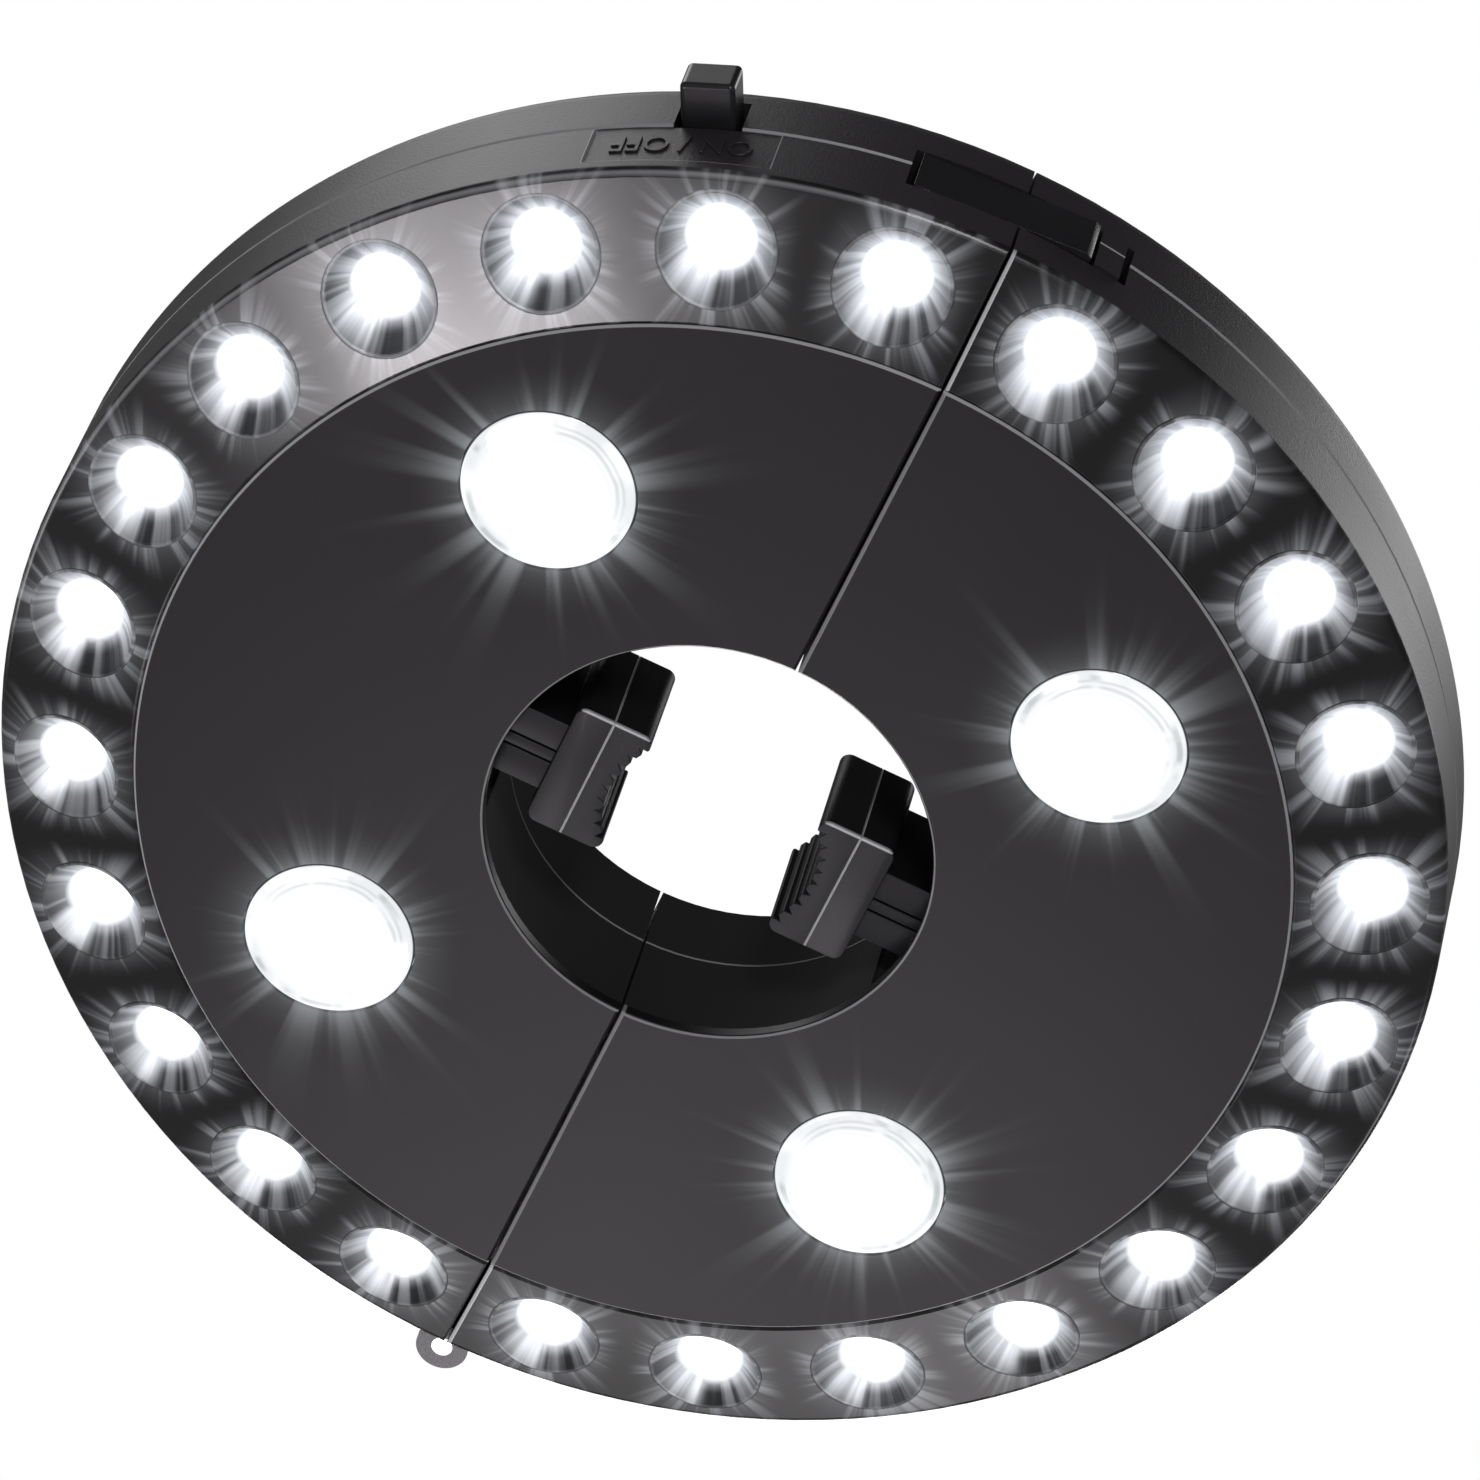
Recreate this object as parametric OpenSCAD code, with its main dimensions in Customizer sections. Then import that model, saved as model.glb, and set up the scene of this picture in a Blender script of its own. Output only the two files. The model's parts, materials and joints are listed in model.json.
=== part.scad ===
// Patio umbrella light: a round battery lamp in two hinged halves that closes round a pole.
// Side a carries the button and the latch lever. Side b is its mirror image and carries the catch.
// Heights are measured up from the lit face, which looks down. The pole runs along Z.
// A bearing is an angle from +X towards +Y. Side b mirrors what is drawn for side a.

/* [Disc] */
// Radius of the flat middle of the lit face
face_r = 80; // [79:0.25:84]
// Width of the sloped lamp band between the flat face and the side wall
band_w = 20; // [18:0.25:24]
// Radius of the hole in the middle
hole_r = 31; // [29.5:0.25:32]
// Rise of the sloped lamp band from the flat face to the wall
band_rise = 5.2; // [4.6:0.1:5.6]
// Height of the joint between lower and upper shells
parting_h = 17.8; // [17:0.1:18.6]
// Radius that rounds the wall into the roof
shoulder_r = 4.3; // [3:0.1:5]
// Gap between the two halves at the seam
seam_gap = 0.4; // [0.4:0.1:1]
// Small bevel on the edges that show
edge_bevel = 0.4; // [0.2:0.05:0.5]
// Rounding between the lamp band and the side wall
rim_round = 1.4; // [0.8:0.1:1.8]

/* [Walls] */
// Thickness of the side wall
wall_t = 2.2; // [1.8:0.1:2.4]
// Thickness of the roof
roof_t = 2.4; // [2.2:0.1:2.8]
// Thickness of the lamp band
band_t = 2.4; // [2:0.1:2.6]
// Thickness of the collar round the hole
collar_t = 2.2; // [1.6:0.1:2.4]
// Thickness of the inner ribs and floors
rib_t = 1.4; // [1.2:0.1:1.6]
// Thickness of the face plates
plate_t = 2; // [1.8:0.1:2.1]

/* [Lamps] */
// Small lamps in the band of one half
ring_count = 12; // [10:1:12]
// Width of the band that is left on each side of a socket
socket_margin = 1.8; // [1.6:0.1:2.4]
// Depth of a reflector cup
cup_depth = 5.2; // [4.8:0.1:5.4]
// Radius of the opening at the bottom of a reflector cup
cup_neck_r = 3.3; // [3.2:0.05:3.5]
// Radius of a small lamp's dome
led_r = 2.5; // [2.2:0.1:2.5]
// How far the large lamps sit outside the middle between the hole and the band
spot_out = 1.7; // [0.5:0.1:3.5]
// Radius of a large lamp's lens
lens_r = 12; // [11:0.25:12.5]
// How far a lens stands out of the face
lens_crown = 1.3; // [1:0.1:2]
// Depth of the reflector behind a lens
spot_depth = 5.5; // [5.2:0.1:6]

/* [Clamp] */
// Radius of the pole that the jaws hold as drawn
grip_r = 15; // [14:0.25:16]
// Width of a jaw
jaw_w = 20; // [18:0.5:20.5]
// Height of a jaw
jaw_height = 18; // [16:0.25:18]
// Height of the jaws' lower face
jaw_h = 2.5; // [2.4:0.1:2.8]
// Least thickness of a toothed pad
pad_t = 3.4; // [3:0.1:3.8]
// Half angle of the toothed arc on a pad
tooth_half_angle = 33; // [30:1:34]
// Angle from tooth to tooth
tooth_pitch = 7.5; // [7:0.5:8]
// Depth of a tooth
tooth_depth = 1; // [0.6:0.1:1.2]
// Thickness of the carrier block behind a pad
carrier_t = 5.3; // [4.8:0.1:5.8]
// Width of a jaw's arm
arm_w = 11.4; // [10:0.2:12]
// Length of an arm behind its carrier
arm_len = 28; // [27:0.5:29]
// Length of the tall neck at the arm's root
neck_len = 10.3; // [8:0.1:11]
// Outward travel of a jaw
jaw_travel = 9; // [7:0.5:9]

/* [Battery bay] */
// Diameter of a battery cell
cell_d = 14.2; // [13.6:0.1:14.3]
// Length of a battery cell
cell_len = 50.2; // [48:0.2:50.6]
// Room between the battery cells and the door over them
cell_head = 2.3; // [1.9:0.1:5.3]
// Thickness of the battery door
door_t = 2; // [1.8:0.05:2.1]

/* [Latch and hinge] */
// Half width of the recess for the latch
recess_half_w = 15.8; // [15:0.1:16.5]
// Height of the recess floor
recess_h = 12.2; // [11.8:0.1:12.6]
// Height of the recess opening
recess_height = 9.6; // [9:0.1:9.8]
// Thickness of the latch lever's plate
lever_t = 3; // [2.6:0.1:3.2]
// How far the lever's free end stands out of the wall
lever_lift = 1.5; // [1:0.1:2]
// Radius of the hinge pin
hinge_pin_r = 1.5; // [1.2:0.1:1.8]
// Radius of a hinge knuckle
knuckle_r = 3.8; // [3.4:0.1:4]

/* [Button] */
// Bearing of the button
button_bearing = 65.2; // [64:0.2:66]
// Width of the button
button_w = 7.4; // [6.6:0.1:8]
// Height of the button
button_height = 6.7; // [6:0.1:6.8]
// How far the button stands out of the wall
button_out = 5.9; // [5:0.1:7]
// Inward travel of the button
button_travel = 1.5; // [1:0.1:1.7]

/* [Hidden] */
$fn = 96;

// Overrun of every cut, and the clearances
cut = 1;
fit_gap = 0.05;
seat_gap = 0.1;
lens_gap = 0.2;
guide_gap = 0.3;
slot_gap = 0.9;

// Outer radius of the housing, and the circles that the lamps sit on
disc_r = face_r + band_w;
ring_r = face_r + band_w / 2;
socket_r = band_w / 2 - socket_margin;
spot_ring_r = (hole_r + face_r) / 2 + spot_out;

// The origin lies on the pole's axis, halfway up the jaws
mid_h = jaw_h + jaw_height / 2;
reach = 2 * disc_r;

// Slope of the lamp band
band_slope = atan(band_rise / band_w);
function band_h(r) = (r - face_r) * band_rise / band_w;
rim_steps = 6;
socket_step = 180 / ring_count;

// Stack over the lit face: lens flange, reflector, board, floor of the battery bay, cells, door
flange_t = 1;
flange_w = 1.4;
board_h = plate_t + flange_t + spot_depth;
board_t = 1.6;
board_top_h = board_h + board_t;
bay_floor_h = board_top_h + slot_gap;
bay_h = bay_floor_h + rib_t;
roof_h = bay_h + seat_gap + cell_d + cell_head + door_t;
ledge_w = 2.5;
ledge_t = 1.6;
ledge_out = 0.8;
roof_in_h = roof_h - roof_t;

// Reflector cups and their web behind the band
cup_skin = 0.9;
cup_steps = 8;
cup_mouth_r = socket_r - cup_skin / 2;
cup_neck_len = 2.4;
cup_end = cup_depth + cup_neck_len;
web_t = 1.2;
web_in = 3;
led_in = 1.15;
led_len = 2.1;
led_dome_h = board_h - led_len;
led_flange_w = 0.2;
led_flange_t = 0.9;

// Large lamps
spot_bearings = [-45, 45];
spot_neck_r = 4;
spot_skin = 0.8;
chip_w = 5;
chip_t = 0.8;
chip_dome_r = 1.8;

// Jaw: pad, carrier, arm with a tall neck and a low tail
pad_back = grip_r + pad_t;
carrier_back = pad_back + carrier_t;
jaw_round = 1.5;
tooth_w = 1;
arm_step = 1.2;
arm_h = jaw_h + arm_step;
neck_top_h = jaw_h + jaw_height;
tail_top_h = bay_floor_h - guide_gap;
arm_end = carrier_back + arm_len;
groove_w = 2;
groove_depth = 0.5;
line_w = 0.3;

// Channel of the arm, and the pocket that the jaw draws back into
jaw_stop_gap = 1;
pocket_gap = 1;
pocket_half_w = jaw_w / 2 + pocket_gap;
pocket_end = carrier_back + neck_len + jaw_travel + jaw_stop_gap;
pocket_top_h = jaw_h + jaw_height + guide_gap;
channel_floor_x = carrier_back + jaw_travel + jaw_stop_gap;
channel_half_w = arm_w / 2 + guide_gap;
channel_h = bay_floor_h - slot_gap;
spring_r = 2.8;
spring_wire = 0.7;
spring_closed = 5;
stop_x = arm_end + jaw_travel + spring_closed;

// Battery bay, over the arm's channel
bay_x = pocket_end + rib_t;
cell_gap = 0.7;
bay_w = 2 * cell_d + 3 * cell_gap;
contact_t = 0.5;
contact_w = 11;
contact_spring_len = 5;
contact_spring_r = 4;
contact_tip_r = 2.4;
bay_half_l = (cell_len + contact_spring_len) / 2 + contact_t + seat_gap;
cell_h = bay_h + cell_d / 2 + seat_gap;
nub_r = 2.7;
nub_len = 1;

// Battery door and its trunnions
door_ledge = 1.2;
door_h = roof_h - door_t;
door_x = bay_x - door_ledge;
door_end_x = bay_x + bay_w + door_ledge;
door_half_l = bay_half_l + door_ledge;
door_axis_x = door_x + guide_gap + door_t / 2;
door_axis_h = roof_h - door_t / 2;
trunnion_r = 0.6;
trunnion_len = 1;
tab_w = 9;
tab_t = 1.2;
tab_drop = 4;
tab_in = 0.5;
thumb_r = 8;
thumb_depth = 0.8;

// Screws between the shells, at bearings that fall between two lamps
screw_bearings = [for (i = [1, 4, ring_count - 4, ring_count - 1]) i * socket_step - 90];
boss_r = 3;
boss_drop = 2.6;
boss_top_h = parting_h - boss_drop;
screw_r = 1.4;
screw_head_r = 2.5;
screw_head_t = 1.8;
head_sink = 2.2;
screw_len = 20;

// Hinge, on the rim opposite the latch
hinge_out = 2;
hinge_y = -(disc_r + hinge_out);
knuckle_gap = 0.15;
knuckle_h = 7;
knuckle_low_top = 11;
knuckle_mid_top = 21.5;
knuckle_top = 25.5;
hinge_head_r = 2.6;
hinge_head_t = 1;

// Latch: a rocker on a pin, pressed at its flush end
end_gap = 1.1;
lever_end_x = recess_half_w - end_gap;
lever_end_y = sqrt(disc_r * disc_r - lever_end_x * lever_end_x);
lever_tip_x = -10.3;
lever_tip_y = sqrt(disc_r * disc_r - lever_tip_x * lever_tip_x) + lever_lift;
lever_round = 0.8;
latch_pin_x = 5.5;
latch_pin_in = 5.7;
latch_pin_y = disc_r - latch_pin_in;
latch_pin_r = 1;
latch_boss_r = 2.3;
recess_depth = 8.8;
recess_y = disc_r - recess_depth;
recess_top_h = recess_h + recess_height;
coil_h = 3.4;
coil_wire = 0.6;
coil_r = 2.1;
coil_leg_x = 1.3;
coil_leg = 6;
catch_x = 10.9;
catch_proud = 0.5;
keeper_x = 5;
keeper_w = 3;
keeper_in = 4.1;
keeper_y = disc_r - keeper_in;
hook_w = 1.4;

// Button, its slot, and the switch behind it
button_h = parting_h + guide_gap;
button_round = 0.8;
button_flange_w = 1.2;
button_flange_t = 1.5;
button_flange_r = disc_r - wall_t - guide_gap;
button_back_r = button_flange_r - button_flange_t;
plunger_r = 1.7;
switch_w = 6.2;
switch_t = 4;
plunger_len = 6.4;
plunger_in = 1.2;
switch_face_r = button_back_r - plunger_len;
driver_w = 24;
driver_t = 1.6;
driver_room = 2.6;
driver_top_h = roof_in_h - driver_room;

// Sunk panel for the plain switch words
panel_bearing = 63.75;
panel_half_angle = 7.2;
panel_h = 7.9;
panel_depth = 0.35;

// SHARED SHAPES

module seated() {
    translate([0, 0, -mid_h]) children();
}

module side_a() {
    seated() children();
}

module side_b() {
    seated() mirror([1, 0, 0]) children();
}

module box(x0, x1, y0, y1, h0, h1) {
    translate([x0, y0, h0]) cube([x1 - x0, y1 - y0, h1 - h0]);
}

module half_space(gap = seam_gap / 2) {
    box(gap, reach, -reach, reach, -reach, reach);
}

module at_bearing(a, r, h = 0) {
    rotate([0, 0, a]) translate([r, 0, h]) children();
}

module ring(r0, r1, h0, h1) {
    rotate_extrude() translate([r0, h0]) square([r1 - r0, h1 - h0]);
}

// A socket's own axes: the origin on the band, +Z square to it and into the housing
module at_sockets() {
    for (i = [0:ring_count - 1])
        at_bearing((i + 0.5) * socket_step - 90, ring_r, band_h(ring_r))
            rotate([0, -band_slope, 0]) children();
}

module at_spots() {
    for (a = spot_bearings) at_bearing(a, spot_ring_r) children();
}

module at_screws(h) {
    for (a = screw_bearings) at_bearing(a, ring_r, h) children();
}

// Prism along +Y that bevels the seam edge over the line where it starts
module seam_bevel(len) {
    x0 = seam_gap / 2;
    b = edge_bevel;
    translate([0, len, 0]) rotate([90, 0, 0]) linear_extrude(len)
        polygon([[x0 + b + cut, -cut], [x0 - cut, b + cut], [x0 - cut, -cut]]);
}

module face_seam_bevel() {
    translate([0, -face_r, 0]) seam_bevel(2 * face_r);
}

module band_seam_bevel() {
    for (m = [0, 1]) mirror([0, m, 0])
        translate([0, face_r, 0]) rotate([band_slope, 0, 0]) seam_bevel(band_w + cut);
}

// Ring that bevels the lower edge of a round wall at the joint of the shells. Way 1 cuts the
// outside of the wall, way -1 its inside.
module parting_bevel(r, way) {
    rotate_extrude() polygon([[r - way * (edge_bevel + cut), parting_h - cut], [r + way * cut, parting_h - cut],
        [r + way * cut, parting_h + edge_bevel + cut]]);
}

// LOWER SHELLS

module band_section() {
    corner_r = disc_r - rim_round;
    corner_h = band_h(corner_r) + rim_round / cos(band_slope);
    polygon(concat(
        [[face_r, edge_bevel], [face_r + edge_bevel, band_h(face_r + edge_bevel)]],
        [for (i = [0:rim_steps])
            let (a = (band_slope - 90) * (1 - i / rim_steps))
            [corner_r + rim_round * cos(a), corner_h + rim_round * sin(a)]],
        [[disc_r, parting_h - edge_bevel], [disc_r - edge_bevel, parting_h],
         [disc_r - wall_t, parting_h], [disc_r - wall_t, band_h(disc_r - wall_t) + band_t],
         [face_r, band_t]]
    ));
}

// What the seam wall may fill inside the lower skin
module lower_inside_section() {
    wall_mid = disc_r - wall_t / 2;
    polygon([[hole_r, plate_t], [face_r, plate_t], [face_r, band_t / 2],
        [wall_mid, band_h(wall_mid) + band_t / 2], [wall_mid, parting_h], [hole_r, parting_h]]);
}

module lower_seam_wall() {
    intersection() {
        rotate_extrude() lower_inside_section();
        box(seam_gap / 2, seam_gap / 2 + rib_t, -reach, reach, 0, parting_h);
    }
}

module arm_channel() {
    wide = pocket_half_w + rib_t;
    narrow = channel_half_w + rib_t;
    floor_top = arm_h - guide_gap;
    box(channel_floor_x, pocket_end + rib_t, -wide, wide, plate_t, floor_top);
    box(pocket_end, stop_x + rib_t, -narrow, narrow, plate_t, floor_top);
    box(stop_x, stop_x + rib_t, -narrow, narrow, plate_t, channel_h);
    for (m = [0, 1]) mirror([0, m, 0]) {
        box(pocket_end, stop_x + rib_t, channel_half_w, narrow, plate_t, channel_h);
        box(pocket_end, pocket_end + rib_t, channel_half_w, wide, plate_t, channel_h);
        difference() {
            box(0, pocket_end + rib_t, pocket_half_w, wide, plate_t, channel_h);
            translate([0, 0, plate_t - cut]) cylinder(h = parting_h, r = hole_r);
        }
        difference() {
            box(0, pocket_end, pocket_half_w, wide, plate_t, parting_h);
            translate([0, 0, plate_t - cut]) cylinder(h = parting_h, r = hole_r);
        }
    }
}

module latch_block(h0, h1) {
    box(seam_gap / 2, recess_half_w + rib_t, recess_y - rib_t, disc_r - wall_t, h0, h1);
}

module latch_recess() {
    box(-cut, recess_half_w, recess_y, disc_r + cut, recess_h, recess_top_h);
}

module latch_pin_hole() {
    translate([latch_pin_x, latch_pin_y, recess_h - rib_t + guide_gap])
        cylinder(h = recess_height + 2 * (rib_t - guide_gap), r = latch_pin_r + fit_gap);
}

// Knuckle of one shell, with the web that ties it to the wall
module knuckle(h0, h1) {
    translate([0, hinge_y, h0]) cylinder(h = h1 - h0, r = knuckle_r);
    box(seam_gap / 2, knuckle_r, hinge_y, -(disc_r - wall_t), h0, h1);
}

module knuckle_room(h0, h1) {
    translate([0, hinge_y, h0 - knuckle_gap])
        cylinder(h = h1 - h0 + 2 * knuckle_gap, r = knuckle_r + guide_gap);
}

module hinge_bore() {
    translate([0, hinge_y, 0]) cylinder(h = roof_h + cut, r = hinge_pin_r + fit_gap);
}

module bottom_shell() {
    boss_h = band_h(ring_r + boss_r) + fit_gap;
    difference() {
        union() {
            intersection() {
                union() {
                    rotate_extrude() band_section();
                    ring(face_r - ledge_w, face_r + ledge_out, plate_t, plate_t + ledge_t);
                    ring(hole_r, hole_r + collar_t, plate_t, parting_h);
                    lower_seam_wall();
                }
                half_space();
            }
            arm_channel();
            latch_block(recess_h - rib_t, parting_h);
            at_screws(boss_h) cylinder(h = boss_top_h - boss_h, r = boss_r);
        }
        at_sockets() translate([0, 0, -cut]) cylinder(h = cut + 2 * band_t, r = socket_r);
        box(0, channel_floor_x, -pocket_half_w, pocket_half_w, plate_t, parting_h + cut);
        box(0, hole_r + 2 * collar_t, -pocket_half_w, pocket_half_w, arm_h - guide_gap, parting_h + cut);
        at_screws(board_h) cylinder(h = boss_top_h, r = screw_r + fit_gap);
        latch_recess();
        band_seam_bevel();
    }
}

module bottom_shell_a() {
    color("#2b2b2d") side_a() difference() {
        union() {
            bottom_shell();
            knuckle(knuckle_h, knuckle_low_top);
        }
        knuckle_room(knuckle_low_top + knuckle_gap, knuckle_mid_top);
        hinge_bore();
        latch_pin_hole();
        rotate([0, 0, panel_bearing - panel_half_angle]) rotate_extrude(angle = 2 * panel_half_angle)
            translate([disc_r - panel_depth, panel_h]) square([panel_depth + cut, parting_h - panel_h + cut]);
    }
}

module catch_and_keeper(h0, h1) {
    intersection() {
        box(catch_x, lever_end_x, recess_y - fit_gap, reach, h0, h1);
        cylinder(h = roof_h, r = disc_r + catch_proud);
    }
    box(keeper_x, keeper_x + keeper_w, recess_y - fit_gap, keeper_y, h0, h1);
}

module bottom_shell_b() {
    color("#2b2b2d") side_b() difference() {
        union() {
            bottom_shell();
            knuckle(knuckle_low_top + knuckle_gap, parting_h);
            catch_and_keeper(recess_h - fit_gap, parting_h);
        }
        knuckle_room(knuckle_h, knuckle_low_top);
        hinge_bore();
    }
}

// UPPER SHELLS

// Section of the upper shell's outside, or of its inside when drawn in by t and down by top_t
module upper_section(t, top_t, h0) {
    corner_r = disc_r - shoulder_r;
    corner_h = roof_h - shoulder_r;
    round = shoulder_r - t;
    inner_r = hole_r + (t > 0 ? collar_t : 0);
    top_h = corner_h + round - (top_t - t);
    intersection() {
        union() {
            translate([inner_r, h0]) square([corner_r - inner_r, roof_h]);
            translate([inner_r, h0]) square([corner_r + round - inner_r, corner_h - h0]);
            translate([corner_r, corner_h]) circle(r = round);
        }
        translate([inner_r, h0]) square([disc_r, top_h - h0]);
    }
}

module upper_skin() {
    difference() {
        rotate_extrude() upper_section(0, 0, parting_h);
        rotate_extrude() upper_section(wall_t, roof_t, parting_h - cut);
    }
}

module upper_seam_wall() {
    intersection() {
        rotate_extrude() upper_section(wall_t / 2, roof_t / 2, parting_h);
        box(seam_gap / 2, seam_gap / 2 + rib_t, -reach, reach, parting_h, roof_h);
    }
}

module bay_walls() {
    box(bay_x - rib_t, bay_x + bay_w + rib_t, -(bay_half_l + rib_t), bay_half_l + rib_t,
        bay_floor_h, roof_in_h + fit_gap);
}

module bay_room() {
    box(bay_x, bay_x + bay_w, -bay_half_l, bay_half_l, bay_h, roof_h + cut);
    box(door_x, door_end_x, -door_half_l, door_half_l, door_h - seat_gap, roof_h + cut);
    box(door_end_x - door_ledge - cut, door_end_x, -(tab_w / 2 + guide_gap), tab_w / 2 + guide_gap,
        door_h - tab_drop - guide_gap, roof_h + cut);
    translate([door_axis_x, -(door_half_l + trunnion_len + seat_gap), door_axis_h]) rotate([-90, 0, 0])
        cylinder(h = 2 * (door_half_l + trunnion_len + seat_gap), r = trunnion_r + fit_gap);
    translate([door_end_x, 0, roof_h - thumb_depth]) cylinder(h = thumb_depth + cut, r = thumb_r);
}

// Roof and ribs of the pocket, over a jaw that is drawn back
module pocket_roof() {
    wide = pocket_half_w + rib_t;
    difference() {
        box(0, pocket_end + fit_gap, -wide, wide, parting_h, pocket_top_h + rib_t);
        box(0, pocket_end, -pocket_half_w, pocket_half_w, parting_h - cut, pocket_top_h);
        translate([0, 0, parting_h - cut]) cylinder(h = roof_h, r = hole_r);
    }
}

module top_shell() {
    difference() {
        union() {
            intersection() {
                union() {
                    upper_skin();
                    upper_seam_wall();
                }
                half_space();
            }
            bay_walls();
            latch_block(parting_h, recess_top_h + rib_t);
            at_screws(boss_top_h) cylinder(h = roof_in_h - boss_top_h + fit_gap, r = boss_r);
            pocket_roof();
        }
        bay_room();
        box(0, hole_r + 2 * collar_t, -pocket_half_w, pocket_half_w, parting_h - cut, pocket_top_h);
        at_screws(boss_top_h - cut) cylinder(h = roof_h, r = screw_r + seat_gap);
        at_screws(roof_h - head_sink) cylinder(h = head_sink + cut, r = screw_head_r + guide_gap);
        latch_recess();
        parting_bevel(disc_r, 1);
        parting_bevel(hole_r, -1);
    }
}

module button_slot() {
    half_w = button_w / 2 + slot_gap;
    at_bearing(button_bearing, 0)
        box(button_back_r, disc_r + cut, -half_w, half_w,
            parting_h - cut, button_h + button_height + guide_gap);
}

module top_shell_a() {
    color("#2b2b2d") side_a() difference() {
        union() {
            top_shell();
            knuckle(knuckle_mid_top + knuckle_gap, knuckle_top);
        }
        knuckle_room(parting_h - cut, knuckle_mid_top);
        translate([0, hinge_y, knuckle_top]) cylinder(h = roof_h, r = hinge_head_r + guide_gap);
        hinge_bore();
        latch_pin_hole();
        button_slot();
    }
}

module top_shell_b() {
    color("#2b2b2d") side_b() difference() {
        union() {
            top_shell();
            knuckle(parting_h, knuckle_mid_top);
            difference() {
                catch_and_keeper(parting_h, recess_top_h + fit_gap);
                parting_bevel(disc_r + catch_proud, 1);
            }
        }
        knuckle_room(knuckle_mid_top + knuckle_gap, roof_h);
        hinge_bore();
    }
}

// FACE PLATES

module face_plate() {
    out_r = face_r - fit_gap;
    difference() {
        intersection() {
            rotate_extrude() polygon([[hole_r, edge_bevel], [hole_r + edge_bevel, 0],
                [out_r - edge_bevel, 0], [out_r, edge_bevel], [out_r, plate_t], [hole_r, plate_t]]);
            half_space();
        }
        at_spots() translate([0, 0, -cut]) cylinder(h = plate_t + 2 * cut, r = lens_r + lens_gap);
        face_seam_bevel();
    }
}

module face_plate_a() {
    color("#3a3a3c") side_a() face_plate();
}

module face_plate_b() {
    color("#3a3a3c") side_b() face_plate();
}

// SMALL LAMPS

// Inner radius of a cup at a depth, on a curve that narrows to the neck
function cup_r(depth) =
    let (share = (1 - pow(cup_neck_r / cup_mouth_r, 2)) * depth / cup_depth)
    cup_mouth_r * sqrt(1 - share);

module cup_outside() {
    rotate_extrude() polygon(concat(
        [[0, seat_gap], [socket_r - fit_gap, seat_gap], [socket_r - fit_gap, band_t + web_t]],
        [for (i = [cup_steps / 2:cup_steps])
            [cup_r(i * cup_depth / cup_steps) + cup_skin, i * cup_depth / cup_steps]],
        [[cup_neck_r + cup_skin, cup_end], [0, cup_end]]
    ));
}

module cup_inside() {
    rotate_extrude() polygon(concat(
        [[0, -cut], [cup_mouth_r, -cut]],
        [for (i = [0:cup_steps]) [cup_r(i * cup_depth / cup_steps), i * cup_depth / cup_steps]],
        [[cup_neck_r, cup_end + cut], [0, cup_end + cut]]
    ));
}

module reflector_ring() {
    web_in_r = face_r + web_in;
    web_out_r = disc_r - wall_t - guide_gap;
    difference() {
        union() {
            intersection() {
                rotate_extrude() polygon([
                    [web_in_r, band_h(web_in_r) + band_t + seat_gap],
                    [web_out_r, band_h(web_out_r) + band_t + seat_gap],
                    [web_out_r, band_h(web_out_r) + band_t + web_t],
                    [web_in_r, band_h(web_in_r) + band_t + web_t]]);
                half_space(seam_gap / 2 + rib_t + guide_gap);
            }
            intersection() {
                at_sockets() cup_outside();
                translate([0, 0, -cut]) cylinder(h = board_h + cut, r = disc_r);
            }
        }
        at_sockets() cup_inside();
        at_screws(0) cylinder(h = board_h, r = boss_r + guide_gap);
    }
}

module reflector_ring_a() {
    color("#c9ccd0") side_a() reflector_ring();
}

module reflector_ring_b() {
    color("#c9ccd0") side_b() reflector_ring();
}

// Cylinder up to the circuit board with a dome on its lower end
module domed_pin(r, dome_h) {
    translate([0, 0, dome_h]) cylinder(h = board_h - dome_h, r = r);
    intersection() {
        translate([0, 0, dome_h]) sphere(r = r);
        translate([0, 0, dome_h - r]) cylinder(h = r, r = r);
    }
}

module ring_leds() {
    for (i = [0:ring_count - 1]) at_bearing((i + 0.5) * socket_step - 90, ring_r - led_in) {
        translate([0, 0, board_h - led_flange_t]) cylinder(h = led_flange_t, r = led_r + led_flange_w);
        domed_pin(led_r, led_dome_h);
    }
}

module ring_leds_a() {
    color("#f4f8ff") side_a() ring_leds();
}

module ring_leds_b() {
    color("#f4f8ff") side_b() ring_leds();
}

// Half-ring circuit board with room for the channel and the bosses
module led_board() {
    edge_x = seam_gap / 2 + rib_t + guide_gap;
    slot_half_w = channel_half_w + rib_t + guide_gap;
    pocket_room = pocket_half_w + rib_t + guide_gap;
    difference() {
        intersection() {
            ring(hole_r + collar_t + guide_gap, disc_r - wall_t - guide_gap, board_h, board_top_h);
            half_space(edge_x);
        }
        box(0, stop_x + rib_t + guide_gap, -slot_half_w, slot_half_w, 0, roof_h);
        box(0, pocket_end + rib_t + guide_gap, -pocket_room, pocket_room, 0, roof_h);
        at_screws(0) cylinder(h = roof_h, r = boss_r + guide_gap);
    }
}

module led_board_a() {
    color("#1f5c3a") side_a() led_board();
}

module led_board_b() {
    color("#1f5c3a") side_b() led_board();
}

// LARGE LAMPS

module spot_lenses() {
    dome_r = (lens_r * lens_r + lens_crown * lens_crown) / (2 * lens_crown);
    at_spots() {
        intersection() {
            translate([0, 0, -lens_crown]) cylinder(h = lens_crown + plate_t, r = lens_r);
            translate([0, 0, dome_r - lens_crown]) sphere(r = dome_r);
        }
        translate([0, 0, plate_t]) cylinder(h = flange_t, r = lens_r + flange_w);
    }
}

module spot_lenses_a() {
    color("#e8eef2") side_a() spot_lenses();
}

module spot_lenses_b() {
    color("#e8eef2") side_b() spot_lenses();
}

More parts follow.
